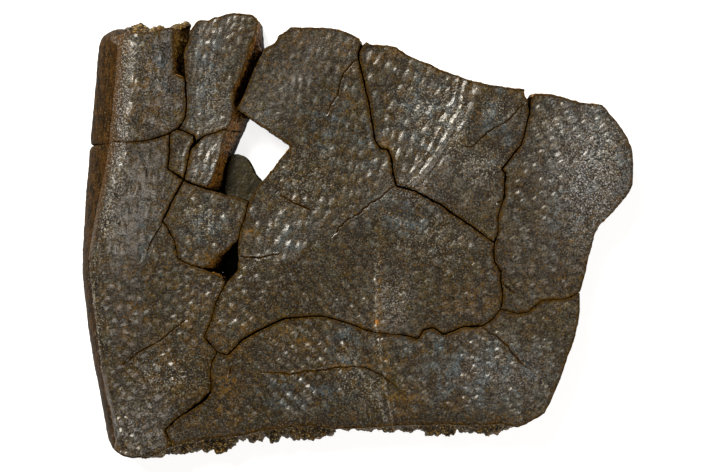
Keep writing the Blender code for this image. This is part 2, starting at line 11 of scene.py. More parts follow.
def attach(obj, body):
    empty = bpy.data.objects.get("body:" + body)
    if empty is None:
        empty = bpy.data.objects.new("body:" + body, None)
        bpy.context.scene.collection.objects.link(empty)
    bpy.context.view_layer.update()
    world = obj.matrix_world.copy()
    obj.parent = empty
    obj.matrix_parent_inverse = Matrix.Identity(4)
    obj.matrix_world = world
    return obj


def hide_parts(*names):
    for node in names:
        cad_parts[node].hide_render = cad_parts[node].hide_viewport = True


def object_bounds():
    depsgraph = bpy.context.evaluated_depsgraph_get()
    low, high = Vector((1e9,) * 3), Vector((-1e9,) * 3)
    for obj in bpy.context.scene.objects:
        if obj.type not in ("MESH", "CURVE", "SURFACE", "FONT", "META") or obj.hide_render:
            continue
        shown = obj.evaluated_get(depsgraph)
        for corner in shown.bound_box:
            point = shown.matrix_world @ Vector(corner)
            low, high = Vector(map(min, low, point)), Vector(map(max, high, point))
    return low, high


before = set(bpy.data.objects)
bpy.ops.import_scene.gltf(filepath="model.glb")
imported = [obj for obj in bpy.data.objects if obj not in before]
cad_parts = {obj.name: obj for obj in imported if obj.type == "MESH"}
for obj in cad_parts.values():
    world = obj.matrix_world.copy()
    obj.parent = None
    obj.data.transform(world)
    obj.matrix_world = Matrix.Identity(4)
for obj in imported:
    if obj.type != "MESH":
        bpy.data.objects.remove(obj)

cadLow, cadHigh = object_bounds()

# The plan is drawn as the photo shows it: (right, down) in pixels, 708 by 472
drawing = {"wide": 708.0, "high": 472.0, "centre": (357.0, 236.5), "farLeft": 79.0, "farRight": 635.0}

shell = {
    "glueLine": 0.00032,        # between two glued fragments
    "plate": 0.0112,            # thickness beside the rim
    "thinning": 0.011,          # for each metre to the right of thinningFrom
    "thinningFrom": -0.03,
    "swell": 0.00035,           # long waves of the plate
    "swellWaves": (0.034, 0.8, 0.041),
    "uneven": 0.00022,          # irregular unevenness, and the size of it in the drawing
    "unevenSize": 48.0,
    "ragged": (0.7, 0.6),       # how strong the surface's lines are, and how much that varies
    "raggedSize": 5.0,
    "rimCrest": 0.0155,
    "rimMiddle": 0.0065,        # height at which the rim bulges furthest
    "rimUndercut": 0.0026,
    "rimFall": 0.0125,          # how far the rim takes to fall to the plate
    "crestInset": (45.0, 25.0), # of the crest inside the edge, and how much less it is lower down
    "crestShift": (130.0, 275.0),
    "valley": 0.00025,          # beside the rim: its depth, then its place and width in the drawing
    "valleyPlace": (30.0, 12.0),
    "vault": 0.0015,            # hollow of the inner face
    "vaultRadii": (0.041, 0.033),
    "vaultCentre": (0.012, -0.002),
    "tongue": 0.0054,           # level of the tongue under the open hole
    "pitFloor": 0.0023,
    "ledge": (0.28, 0.72),      # shares of a stepped wall's rows at which its ledge begins and ends
    "ledgeSag": 0.06,
    "sutureTop": 0.0100,
    "sutureMiddle": 0.0064,
    "sutureFoot": 0.55,
    "cornerRoll": 0.25,         # share of the roll's width that is left at its two ends
    "cornerEnds": ((438.0, 450.0), (-38.0, -30.0)),
    "rollPower": 1.6,           # 2 for a round shoulder, less for a flatter one
    "rollTop": 0.8,             # share of the roll that is a wall; the rest belongs to the surface
    "innerGrain": 0.0011,       # spacing of the inner face's points
}
unit = (cadHigh.x - cadLow.x + shell["glueLine"]) / (drawing["farRight"] - drawing["farLeft"])

# Outer edges, clockwise
rimUpperEdge = [(88.6, 122), (90.6, 98), (92.6, 75), (94, 57), (95.5, 42), (98.5, 34),
                (103, 29.6), (109, 26.2), (115, 25), (121, 25.8)]
rimLowerEdge = [(142, 458.8), (134, 459.6), (125, 458), (116, 453), (108.6, 448), (105, 442),
                (101.6, 422), (97, 396), (91, 366), (86, 338), (82, 303), (79.2, 278),
                (79, 252), (80.8, 222), (82.3, 194), (84.7, 168)]
stripTop = [(196, 22), (199.5, 19.6), (208, 19.6), (213, 17), (219, 15.4), (226, 13.2),
            (234, 12), (252.4, 13.8)]
mainTop = [(267, 46), (273.4, 42.7), (276, 39.5), (278, 34.4), (283, 31.3), (290.6, 25.6),
           (301, 26.6), (322, 26.4), (333, 27.8), (351, 32), (360.5, 38)]
wedgeTop = [(366.5, 39.8), (371.6, 42.7), (387, 44.3), (396, 46.2), (410, 55), (430, 63),
            (453, 73.6), (468, 78.4), (493.5, 84), (516.5, 87.7), (524.8, 88.6), (525.8, 94.5)]
rightEdge = [(534, 91.3), (556, 93.5), (573, 98.8), (602, 104), (607, 107.4), (615, 117),
             (623, 127.5), (629, 138), (633, 149), (635, 162), (634.6, 184), (631, 193),
             (614.8, 212), (600, 226.5), (596.6, 234), (592, 252.5), (586, 277)]
lowerRightEdge = [(580.9, 310), (579.5, 325), (572, 350), (560.6, 382), (552, 402.5),
                  (545.5, 414), (537.7, 420), (527, 425)]
holeEdge = [(272, 168.5), (289, 146), (267, 130.8)]

# Cracks
gapRimSide = [(176.5, 28.6), (175.4, 36), (175, 44), (175.4, 52), (176.2, 59), (176.2, 65),
              (176.8, 72), (184.2, 76.5)]
gapStripSide = [(192.4, 27), (188.6, 33), (188, 41), (185.4, 47), (183, 55), (182.2, 61),
                (183, 68), (184.2, 76.5)]
crackAUpper = [(185.4, 81.6), (186.3, 99.5), (185.4, 117.3), (182.9, 122.5)]
meetAC = (178, 128.5)
meetAB = (170.8, 133.4)
crackARim = [(159.3, 137.9), (146.5, 142.3), (131, 143.2), (114.6, 142.8)]
rimCrackEnd = (86.9, 145)
crackB = [(169.9, 145.5), (168.2, 169)]
crackCUpper = [(185.4, 131.5), (194.4, 136.6)]
forkC = (195.6, 143)
crackCLower = [(189.9, 149.3), (188.6, 158.3), (186, 171)]
crackCRight = [(205.2, 135.3), (223, 130.2)]
meetBD = (183.9, 179.3)
crackE = [(192.4, 183.8)]
crackD = [(174.6, 196.5), (161.8, 222), (166.9, 227), (174.6, 241), (177.8, 259), (189.3, 264.6)]
crackContact = [(244.7, 217), (239.6, 231)]
crackFUpper = [(217.3, 300), (210.3, 323), (204, 336.8)]
meetFM = (217.3, 352.2)
crackFLower = [(211.7, 362), (210.3, 374.7), (211, 391.5), (200, 403), (182, 415.4), (165.4, 429.4)]
crackM = [(228, 355), (233.7, 349.4), (245, 338), (256, 332), (271.6, 324), (285.6, 318.6),
          (312, 316.5), (326, 317.2), (347, 322.8), (365.6, 329.8), (376.8, 333.3), (403, 334.6),
          (418.3, 338.4), (424.4, 330), (433.6, 328), (444.3, 335), (462.7, 326.8), (484, 326),
          (493, 319.5)]
notchG = (361.8, 44)
crackG = [(358.8, 52), (358.4, 59), (363.9, 81.6), (370.3, 112), (375.4, 140), (381, 148.9),
          (388.2, 149.8), (391.4, 157), (393.3, 173.8)]
meetGH = (397, 185.3)
crackH = [(415.3, 191.3), (438.3, 203.6), (476.5, 229.6)]
meetHK = (494.9, 242.6)
crackK = [(493.6, 252), (494.9, 261.7), (501, 272), (501.8, 285.5), (503, 297)]
meetKL = (501, 309.5)
notchJ = (530, 99)
crackJ = [(530, 111.8), (527, 125.6), (520.9, 145.5), (513.3, 155), (502, 168.5), (506.5, 174),
          (504.5, 197), (498, 217), (499, 229)]
crackL = [(517.8, 313.6), (528.5, 312), (542, 300.9), (566.7, 299)]
edgeL = (581.3, 293)

# Slanting broken walls: where each leaves the outer surface, and its foot
stripWallTop = [(258.6, 20.4), (257.8, 31), (253.4, 42), (250.5, 48.5), (246.5, 64), (240, 79),
                (233.6, 90), (234, 100), (234.5, 108), (232.5, 117), (231.4, 122)]
stripWallFoot = [(258.6, 20.4), (259.2, 31), (260.6, 42), (263.4, 48.4), (255.5, 64), (249, 79),
                 (244, 92), (237.7, 104.6), (236.4, 108.4), (246, 116.8), (242.8, 121)]
meetCWallTop = (226.9, 130)
meetCWallFoot = (239.5, 130)
chipWallTop = [(223.7, 137), (221.8, 145), (220.2, 156), (216.7, 170), (211.6, 182), (207.5, 188.4),
               (206, 188.3)]
chipWallFoot = [(235.8, 138), (231.5, 148), (227.5, 158), (224.6, 168), (223, 179), (221.8, 193.3),
                (209, 189.5)]
tongueLip = [(221.9, 193.6), (226, 195.5), (236, 196.8), (248.2, 200.6)]
tongueFoot = [(223, 179), (224.6, 168), (227.5, 158), (229.4, 153.4), (233, 152.5), (237.1, 153.4),
              (241.5, 155.6), (244.7, 158.6), (249.2, 166), (252.4, 173.6)]
meetTongueHole = (260.5, 181.8)
tongueSide = [(256, 189.5)]
meetTongueLip = (248.6, 201)
pitWallTop = [(226, 250.5), (214, 260), (207, 265.4)]
pitWallFoot = [(229, 250), (222.3, 261), (218.7, 274.4)]
pitTop = (237.7, 241.4)
pitLeft = (202.6, 268.8)
pitBottom = (226.4, 282.1)
pitRimEdge = [(218.7, 274.4)]
pitMainEdge = [(232, 276), (238, 269.5), (238, 255)]
pitMainFoot = [(218.7, 274.4), (222.3, 261), (229, 250)]

# Sutures: the lip where the outer surface ends, and the tips of the pegs beyond it
frontLip = [(518, 428.5), (510, 426.5), (500, 424.5), (487, 425.5), (475, 426.5), (455, 426),
            (440, 425), (410, 426.5), (380, 428), (372, 429), (355, 430), (337, 430), (326, 428.7),
            (316, 426), (298, 426.6), (279, 430), (270, 430), (252, 434.3), (231, 437.8),
            (210, 439.5), (186, 442.4), (172, 446.6)]
frontTips = [(518, 428.5), (510, 431), (500, 435), (492, 437), (478, 436), (466, 434.8),
             (459, 432), (453, 435.5), (447, 437), (426, 437.6), (420, 432.4), (415.5, 431),
             (411, 434.5), (403, 434.5), (397, 432), (391, 434.5), (385, 434), (378, 429.4),
             (369, 433.5), (363, 433.4), (358, 431.2), (334, 431.3), (331, 437.4), (326, 437),
             (318, 441), (304, 442.6), (294, 442), (289, 438.8), (281, 439), (276, 443),
             (271, 443.4), (264, 438.8), (257, 443.4), (249, 443.6), (246, 441), (237, 442.5),
             (227, 452.6), (218.5, 457), (211, 452.6), (200, 452.4), (190, 454), (184, 457),
             (172, 457)]
meetFLip = (171.8, 447)
meetFTip = (171.8, 456.6)
cornerLip = [(165.5, 450.5), (160, 453.5), (154, 455.6), (148, 457.4)]
cornerTips = [(165.5, 454.6), (160, 459.6), (154, 461), (148, 459.6)]
backLip = [(127, 28.4), (130, 32), (136, 33.4), (141, 33.6), (145, 33.8), (150, 33.8), (155.5, 33.2),
           (159, 32), (162.5, 30.2), (167, 28), (170, 27.3), (173, 27), (175.4, 27.6)]
backTips = [(127, 27.6), (130, 24), (136, 22.7), (141, 24), (145, 27.4), (150, 27.2), (155.5, 24),
            (159, 25.6), (162.5, 29), (171, 25.5), (177, 22.3), (182, 21), (187, 22.6)]

# Lines on the outer surface
sulcus = [(468, 78), (460, 110), (447, 135), (432, 162), (412, 183)]
scuteEdge = [(375, 265), (377, 330), (385, 390), (393, 427)]
scuteRidge = [(343, 345), (357, 365), (366, 385), (378, 400), (385, 420)]
rimCrestLine = [(90, 250), (93, 275), (97, 300), (100, 324), (102, 350), (104, 375), (106, 395)]
rimLine = [(102, 24), (96, 45), (92, 90), (88, 125), (83, 196), (79, 255), (80, 286), (86, 338),
           (94.6, 384), (105, 442), (110, 462)]

# What those lines do to the surface: furrows and ridges as (place beside the line, depth or
# height, half width) in metres, and how wide the painted highlight along the line is in the drawing
surfaceLines = {
    "sulcus": {"line": sulcus, "furrows": [(0.0012, 0.00018, 0.0009)],
               "ridges": [(0.0, 0.00030, 0.00045), (-0.0017, 0.00014, 0.00042)], "highlightWidth": 2.2},
    "scuteEdge": {"line": scuteEdge, "furrows": [(0.0, 0.0002, 0.0016)],
                  "ridges": [(0.0, 0.00026, 0.00035)], "highlightWidth": 1.4},
    "scuteRidge": {"line": scuteRidge, "furrows": [], "ridges": [(0.0, 0.00030, 0.0006)], "highlightWidth": 2.4},
    "rimCrest": {"line": rimCrestLine, "furrows": [], "ridges": [(0.0, 0.00022, 0.00045)], "highlightWidth": 1.8},
}

# Fine cracks that don't part the bone: their line, width and depth
fineCracks = {
    "mainTop": ([(358, 57), (344, 72), (340, 80), (337, 94), (330, 106), (325, 116)], 0.00012, 0.0004),
    "mainLeft": ([(280, 197), (296, 205), (312, 211)], 0.00011, 0.0004),
    "mainMiddle": ([(395.8, 185.3), (385.6, 193), (370, 204), (357.6, 214.6), (347, 221),
                    (338.4, 228.6), (331, 238)], 0.00013, 0.0004),
    "besidePit": ([(238, 258), (258, 259), (271, 255.6), (279, 254.6)], 0.00009, 0.0003),
    "rimLower": ([(185, 320.7), (176.6, 327), (159.8, 341), (140, 352), (123, 365)], 0.00010, 0.0003),
    "lowerLong": ([(260, 373), (290, 374.7), (304, 372.6), (325, 371), (354, 367), (368, 370),
                   (381, 377), (399, 391.5)], 0.00008, 0.0003),
    "lowerRight": ([(482.6, 329), (498, 339.6), (507, 347), (511.7, 355), (525.5, 369)],
                   0.00010, 0.0003),
    "lowerLeft": ([(231, 366), (227, 377.5)], 0.00016, 0.0005),
    "branchD": ([(161.8, 222), (154, 236), (146.5, 251.4)], 0.00015, 0.0004),
    "twigK": ([(501.8, 285.5), (508, 290), (514, 294)], 0.00014, 0.0004),
    "branchJ": ([(504, 199), (496.4, 204.3)], 0.00012, 0.0004),
    "wedgeCrease": ([(525, 102), (507, 121), (485, 134), (472, 147), (460.6, 148)], 0.00009, 0.0003),
}

# How wide the cracks are, in mm, at places along them; elsewhere they are a glue line wide
crackWidths = {
    "rimSide": [((178, 66), 0.9), ((180, 72), 0.9)],
    "A": [((92, 145), 0.02), ((104, 144), 0.04), ((120, 143), 0.06), ((135, 143), 0.10),
          ((150, 141), 0.14), ((163, 136), 0.20), ((174, 131), 0.24), ((183, 122), 0.28),
          ((186, 100), 0.28), ((184, 84), 0.38)],
    "tongue": [((224, 160), 0.06), ((222, 175), 0.06), ((223, 188), 0.06), ((217, 191), 0.10),
               ((231, 153), 0.06)],
    "pit": [((229, 251), 0.06), ((222, 261), 0.06), ((219, 272), 0.04), ((211, 270), 0.05),
            ((226, 280), 0.10)],
    "B": [((169, 148), 0.22), ((169, 165), 0.30), ((177, 174), 0.22)],
    "C": [((187, 132), 0.24), ((195, 143), 0.85), ((188, 158), 0.24), ((208, 134), 0.20), ((223, 130), 0.12)],
    "D": [((184, 179), 0.36), ((174, 197), 0.36), ((165, 213), 0.34), ((170, 233), 0.18),
          ((176, 250), 0.10), ((189, 264), 0.12), ((207, 189), 0.55)],
    "contact": [((243, 220), 0.12), ((239, 234), 0.14)],
    "F": [((222, 290), 0.14), ((212, 318), 0.08), ((204, 337), 0.14), ((217, 352), 0.12),
          ((211, 368), 0.10), ((210, 384), 0.12), ((205, 399), 0.80), ((196, 405), 0.50),
          ((182, 415), 0.22), ((168, 428), 0.20)],
    "G": [((361, 46), 0.50), ((359, 60), 0.34), ((365, 90), 0.28), ((372, 122), 0.28),
          ((384, 149), 0.30), ((392, 168), 0.30), ((397, 185), 0.40)],
    "H": [((415, 191), 0.38), ((438, 204), 0.36), ((460, 218), 0.34), ((480, 232), 0.32), ((495, 243), 0.26)],
    "J": [((528, 103), 0.60), ((528, 118), 0.28), ((523, 140), 0.24), ((513, 155), 0.28),
          ((503, 169), 0.34), ((506, 185), 0.26), ((502, 205), 0.20), ((498, 222), 0.10), ((495, 236), 0.06)],
    "K": [((494, 255), 0.30), ((499, 270), 0.28), ((502, 288), 0.26), ((502, 304), 0.10)],
    "L": [((512, 313), 0.08), ((530, 310), 0.08), ((545, 301), 0.07), ((570, 298), 0.05)],
    "M": [((226, 355), 0.24), ((240, 343), 0.34), ((256, 332), 0.36), ((275, 322), 0.34),
          ((295, 318), 0.28), ((320, 317), 0.22), ((347, 323), 0.22), ((372, 332), 0.14),
          ((395, 334), 0.10), ((412, 337), 0.20), ((432, 328), 0.26), ((446, 334), 0.26),
          ((468, 327), 0.24), ((490, 322), 0.22), ((500, 312), 0.10)],
}

# Where the bone is tinted: (right, down), reach across and down in plan units, and strength
tints = {
    "dull": [((300, 80), 48, 52, 1.0), ((262, 140), 30, 30, 0.5), ((150, 300), 45, 55, 0.7),
             ((240, 390), 60, 45, 0.9), ((320, 400), 50, 30, 0.6), ((330, 280), 60, 40, 0.5),
             ((300, 424), 160, 8, 1.0), ((455, 290), 50, 30, 0.3), ((345, 245), 40, 30, 0.4)],
    "warm": [((150, 95), 14, 45, 0.8), ((300, 42), 50, 14, 0.7), ((285, 70), 30, 20, 0.5),
             ((340, 80), 18, 34, 0.45), ((390, 52), 22, 8, 0.9), ((430, 68), 28, 8, 0.9),
             ((470, 82), 20, 7, 0.9), ((505, 91), 20, 6, 0.7), ((284, 150), 9, 12, 0.9),
             ((302, 168), 14, 12, 0.5), ((385, 148), 9, 8, 0.9), ((235, 345), 28, 30, 0.8),
             ((222, 395), 26, 30, 0.9), ((250, 424), 60, 6, 1.0), ((330, 423), 60, 5, 1.0),
             ((420, 421), 60, 5, 0.8), ((490, 419), 40, 6, 0.9), ((128, 300), 26, 60, 0.75),
             ((188, 330), 20, 40, 0.6), ((160, 365), 30, 30, 0.6), ((470, 300), 30, 16, 0.6),
             ((545, 275), 30, 18, 0.5), ((320, 345), 30, 20, 0.4), ((400, 400), 30, 16, 0.6),
             ((115, 452), 30, 10, 0.9), ((180, 436), 14, 8, 0.7)],
    # blue-grey tone of the bone, partly a painted sheen
    "blueGreyAndSheen": [((430, 110), 32, 36, 1.0), ((262, 110), 10, 14, 1.0), ((590, 150), 40, 50, 0.9),
             ((500, 125), 22, 36, 0.9), ((560, 215), 25, 25, 0.5), ((300, 394), 45, 15, 0.9),
             ((345, 345), 14, 24, 0.9), ((430, 345), 34, 12, 0.6), ((480, 372), 55, 30, 0.8),
             ((400, 215), 40, 25, 0.6), ((208, 70), 18, 50, 0.7), ((160, 60), 10, 28, 0.8),
             ((205, 160), 12, 20, 0.7), ((205, 225), 20, 20, 0.7), ((140, 230), 18, 30, 0.5),
             ((330, 125), 30, 30, 0.6), ((368, 140), 12, 28, 0.7), ((290, 240), 30, 20, 0.5)],
    # painted glints: where the bone is coloured pale in small grains
    "paintedGlints": [((125, 55), 12, 30, 1.0), ((119, 108), 12, 30, 1.0), ((114, 165), 12, 32, 0.9),
             ((110, 220), 9, 30, 0.8), ((97, 290), 4, 40, 0.8), ((102, 345), 4, 40, 0.8),
             ((135, 430), 28, 26, 0.35), ((452, 120), 13, 34, 1.0), ((425, 108), 22, 34, 0.7),
             ((602, 150), 22, 40, 0.9), ((560, 125), 20, 15, 0.6), ((478, 166), 24, 13, 0.8),
             ((500, 110), 14, 14, 0.6), ((205, 222), 20, 14, 0.8), ((214, 95), 14, 30, 0.5),
             ((350, 372), 9, 28, 0.5), ((372, 392), 8, 14, 0.8), ((378, 300), 3, 60, 0.7),
             ((440, 240), 40, 22, 0.3), ((300, 178), 34, 24, 0.35), ((165, 375), 30, 20, 0.5)],
    # painted grey sheen
    "paintedGreySheen": [((135, 425), 30, 30, 0.8), ((120, 250), 14, 60, 0.5), ((580, 160), 50, 70, 1.0),
             ((535, 250), 45, 40, 0.5), ((465, 170), 34, 26, 0.9),
             ((505, 120), 16, 30, 0.6), ((430, 110), 30, 40, 0.3), ((500, 375), 50, 30, 0.4),
             ((205, 70), 20, 60, 0.35), ((118, 100), 14, 90, 0.4), ((210, 220), 20, 20, 0.5)],
    # painted glints: small bright specks
    "glinting": [((160, 80), 24, 50, 0.5), ((120, 120), 12, 100, 0.8), ((208, 90), 18, 50, 0.25),
                 ((150, 200), 24, 30, 0.3), ((590, 180), 34, 60, 0.9), ((500, 370), 50, 26, 0.4),
                 ((395, 300), 20, 26, 0.5), ((410, 190), 30, 16, 0.5)],
    "ochre": [((386, 366), 5, 13, 0.85), ((377, 322), 4.0, 6.0, 1.1), ((240, 156), 4, 4, 0.8),
              ((250, 232), 5, 4, 0.9), ((352, 366), 20, 3.5, 0.8), ((290, 373), 30, 2.5, 0.4),
              ((157, 108), 6, 12, 0.3), ((140, 92), 5, 8, 0.25), ((228, 382), 12, 12, 0.6),
              ((285, 330), 6, 5, 0.7), ((302, 341), 8, 4, 0.6), ((400, 397), 14, 5, 0.6),
              ((384, 143), 5, 4, 0.8), ((283, 148), 4, 6, 0.8), ((181, 48), 5, 16, 1.0),
              ((380, 290), 2.5, 50, 0.5), ((208, 258), 8, 5, 0.5), ((470, 330), 14, 4, 0.4)],
}


def smoothStep(value, low=0.0, high=1.0):
    share = np.clip((value - low) / (high - low), 0.0, 1.0)
    return share * share * (3.0 - 2.0 * share)


def bell(away, width):
    return np.exp(-(away / width) ** 2)


def toMetres(points):
    points = np.asarray(points, float)
    centre = drawing["centre"]
    return np.stack([(points[..., 0] - centre[0]) * unit, (centre[1] - points[..., 1]) * unit], -1)


def toPlan(points):
    centre = drawing["centre"]
    return np.stack([points[..., 0] / unit + centre[0], centre[1] - points[..., 1] / unit], -1)


def noiseAt(points, size, seed, octaves=1):
    # smooth noise of about -1 to 1 with features of that size
    places = np.zeros((len(points), 3))
    places[:, :points.shape[1]] = points / size
    places[:, 2] += seed
    if octaves == 1:
        return np.array([noise.noise(place) for place in places.tolist()])
    return np.array([noise.fractal(place, 0.8, 2.1, octaves) for place in places.tolist()])


def strayAt(points, size, seeds):
    # a smooth stray across and down, of about -1 to 1 each way
    return np.stack([noiseAt(points, size, seed) for seed in seeds], -1)


def lumpsAt(points, size, seed):
    # round lumps of about that size, from 0 between them to 1 on top
    places = (points / size + seed).tolist()
    return np.array([max(0.0, 1.0 - 1.4 * noise.voronoi(place)[0][0]) for place in places])


def lineDistance(points, line):
    # how far each point is from a line, and on which side: the right side is positive
    best = np.full(len(points), np.inf)
    side = np.ones(len(points))
    for start, end in zip(line, line[1:]):
        start = np.array(start, float)
        run = np.array(end, float) - start
        away = points - start
        share = np.clip(away @ run / (run @ run), 0.0, 1.0)
        gap = np.hypot(*(away - share[:, None] * run).T)
        nearer = gap < best
        best[nearer] = gap[nearer]
        side[nearer] = np.sign(run[1] * away[nearer, 0] - run[0] * away[nearer, 1])
    return best, side


def lineHeightAt(line, x):
    flipped = np.array(line[::-1], float)
    return np.interp(x, flipped[:, 0], flipped[:, 1])


def rimInset(points):
    # how far inside the rim's edge each point lies
    edge = np.array(rimLine)
    return points[:, 0] - np.interp(points[:, 1], edge[:, 1], edge[:, 0])


def crestInset(y):
    upper, less = shell["crestInset"]
    return upper - less * smoothStep(y, *shell["crestShift"])


def rollWidth(points):
    below, above = shell["cornerEnds"]
    corner = np.maximum(smoothStep(points[:, 1], *below), smoothStep(-points[:, 1], *above))
    return crestInset(points[:, 1]) * (1.0 - (1.0 - shell["cornerRoll"]) * corner)


def rollShare(points, line, width):
    # 1 at the edge, 0 where the roll has reached the crest
    return 1.0 - np.clip(lineDistance(points, line)[0] / width, 0.0, 1.0)


def rollHeight(share):
    # height of the roll, from its bulge to its crest
    return shell["rimMiddle"] + (shell["rimCrest"] - shell["rimMiddle"]) * share


def rollInset(z, width):
    # how far the rolled rim lies inside its edge at a level
    rise = np.clip((z - shell["rimMiddle"]) / (shell["rimCrest"] - shell["rimMiddle"]), 0.0, 1.0)
    drop = np.clip((shell["rimMiddle"] - z) / shell["rimMiddle"], 0.0, 1.0)
    under = shell["rimUndercut"] / unit * (1.0 - np.sqrt(1.0 - drop * drop))
    power = shell["rollPower"]
    return np.where(z >= shell["rimMiddle"], width * (1.0 - (1.0 - rise ** power) ** (1.0 / power)), under)


def lineRelief(height, points, ragged, lines):
    # adds the furrows and ridges of those lines to a height
    for name in lines:
        spec = surfaceLines[name]
        gap, side = lineDistance(points, spec["line"])
        gap = gap * side * unit
        for place, depth, width in spec["furrows"]:
            height = height - depth * bell(gap - place, width)
        for place, rise, width in spec["ridges"]:
            height = height + rise * ragged * bell(gap - place, width)
    return height


def outerSurface(points):
    # height of the outer surface without its ornament, for points of the plan
    px, py = points[:, 0], points[:, 1]
    inset = rimInset(points)
    crest = crestInset(py)
    across, shift, down = shell["swellWaves"]
    away = np.maximum(0.0, toMetres(points)[:, 0] - shell["thinningFrom"])
    plate = shell["plate"] - shell["thinning"] * away
    plate = plate + shell["swell"] * np.sin(px * across + shift) * np.sin(py * down)
    plate = plate + shell["uneven"] * noiseAt(points, shell["unevenSize"], 1.3)
    fall = 1.0 - smoothStep(inset - crest, -4.0, shell["rimFall"] / unit)
    place, width = shell["valleyPlace"]
    valley = shell["valley"] * bell(inset - crest - place, width)
    valley = valley * smoothStep(250.0 - py, 0.0, 80.0)
    height = plate + (shell["rimCrest"] - plate) * fall - valley

    plain, varied = shell["ragged"]
    ragged = plain + varied * noiseAt(points, shell["raggedSize"], 41.0, 2)
    height = lineRelief(height, points, ragged, ("sulcus", "scuteEdge", "scuteRidge"))
    side = rollShare(points, rimLowerEdge[5:] + [rimCrackEnd] + rimUpperEdge[:6], crest)
    ends = [rollShare(points, line, crest * shell["cornerRoll"])
            for line in (rimUpperEdge[6:], rimLowerEdge[:6])]
    power = shell["rollPower"]
    share = np.clip(side ** power + ends[0] ** power + ends[1] ** power, 0.0, 1.0)
    rolled = rollHeight((1.0 - share) ** (1.0 / power))
    height = np.where(share > 0.0, np.minimum(height, rolled), height)
    height = lineRelief(height, points, ragged, ("rimCrest",))
    return np.minimum(height, shell["rimCrest"])


def innerSurface(places):
    # height of the hollowed inner face, for places in metres
    across = (places[:, 0] - shell["vaultCentre"][0]) / shell["vaultRadii"][0]
    down = (places[:, 1] - shell["vaultCentre"][1]) / shell["vaultRadii"][1]
    return shell["vault"] * np.sqrt(np.clip(1.0 - across ** 2 - down ** 2, 0.0, 1.0))


# Walls. A wall is an array of columns, each with the same number of keys from foot to top.
# A key is (right, down, height) and how much it is broken, sutured, rolled and inner bone.
keyParts = {"broken": 3, "suture": 4, "rolled": 5, "inner": 6}
partCount = 7


def inwardNormals(points):
    # mitred directions that point into a clockwise outline, from a part of it
    before = np.vstack([points[:1], points[:-1]])
    after = np.vstack([points[1:], points[-1:]])
    first, second = points - before, after - points
    first[0], second[-1] = second[0], first[-1]
    first = first / np.maximum(np.hypot(*first.T), 1e-9)[:, None]
    second = second / np.maximum(np.hypot(*second.T), 1e-9)[:, None]
    middle = first + second
    middle = middle / np.maximum(np.hypot(*middle.T), 1e-9)[:, None]
    reach = 1.0 / np.maximum(0.45, np.sum(middle * first, 1))
    return np.stack([-middle[:, 1], middle[:, 0]], -1) * reach[:, None]


def uprightWall(rows, points, part=None):
    points = np.array(points, float)
    keys = np.zeros((len(points), rows, partCount))
    keys[:, :, :2] = points[:, None]
    keys[:, :, 2] = outerSurface(points)[:, None] * np.linspace(0.0, 1.0, rows)
    if part:
        keys[:, :, keyParts[part]] = 1.0
    return keys


def brokenWall(rows, points):
    return uprightWall(rows, points, "broken")


def rolledWall(rows, points, normals=None):
    points = np.array(points, float)
    normals = inwardNormals(points) if normals is None else np.array(normals, float)
    level = np.linspace(0.0, rollHeight(shell["rollTop"]), rows)
    keys = uprightWall(rows, points, "rolled")
    inset = rollInset(level[None], rollWidth(points)[:, None])
    keys[:, :, :2] += normals[:, None] * inset[:, :, None]
    keys[:, :, 2] = level
    return keys


def rolledJoint(rows, point):
    return rolledWall(rows, [point], [(1.0, 0.0)])


def sutureWall(rows, lip, tips):
    keys = uprightWall(rows, lip, "suture")
    z = keys[:, :, 2]
    upper = smoothStep(shell["sutureTop"] - z, 0.0, shell["sutureTop"] - shell["sutureMiddle"])
    lower = shell["sutureFoot"] + (1.0 - shell["sutureFoot"]) * smoothStep(z, 0.0, shell["sutureMiddle"])
    reach = np.where(z >= shell["sutureMiddle"], upper, lower)
    keys[:, :, :2] += (np.array(tips, float) - np.array(lip, float))[:, None] * reach[:, :, None]
    return keys


def slantedWall(rows, top, foot):
    keys = uprightWall(rows, top, "broken")
    share = np.clip(keys[:, :, 2] / shell["plate"], 0.0, 1.0)[:, :, None]
    keys[:, :, :2] = np.array(foot, float)[:, None] * (1.0 - share) + keys[:, :, :2] * share
    return keys


def steppedWall(rows, top, foot, level):
    # up the foot, along a ledge of inner bone, and up to the outer surface
    keys = uprightWall(rows, top)
    foot = np.array(foot, float)[:, None]
    top = np.array(top, float)[:, None]
    low, high = [round(rows * share) for share in shell["ledge"]]
    sag = shell["ledgeSag"]
    share = np.linspace(0.0, 1.0, high - low)[None, :, None]
    keys[:, :low, :2] = foot
    keys[:, :low, 2] = np.linspace(0.0, level * (1.0 - sag), low)
    keys[:, low:high, :2] = foot + (top - foot) * share
    keys[:, low:high, 2] = level * (1.0 - sag * (1.0 - share[:, :, 0]) ** 3)
    keys[:, low:high, keyParts["inner"]] = 1.0
    rise = np.linspace(0.0, 1.0, rows - high + 1)[1:]
    keys[:, high:, 2] = level + (outerSurface(top[:, 0])[:, None] - level) * rise
    return keys


def along(points, count):
    # that many points, equally spaced along a line, both ends included
    points = np.array(points, float)
    run = np.concatenate([[0.0], np.cumsum(np.hypot(*np.diff(points, axis=0).T))])
    places = np.linspace(0.0, run[-1], count)
    return np.stack([np.interp(places, run, points[:, 0]), np.interp(places, run, points[:, 1])], -1)


def frontSuture(rows):
    # every bump of the suture, with the lip beside it
    tips = np.array(frontTips[1:-1], float)
    lip = np.stack([tips[:, 0], lineHeightAt(frontLip, tips[:, 0])], -1)
    return sutureWall(rows, lip, tips)


def backwards(points):
    return list(reversed(points))


tongueLipKeys = along(tongueLip, len(tongueFoot) + len(tongueSide) + 3)[1:-1]
tongueFootKeys = tongueFoot + [meetTongueHole] + tongueSide

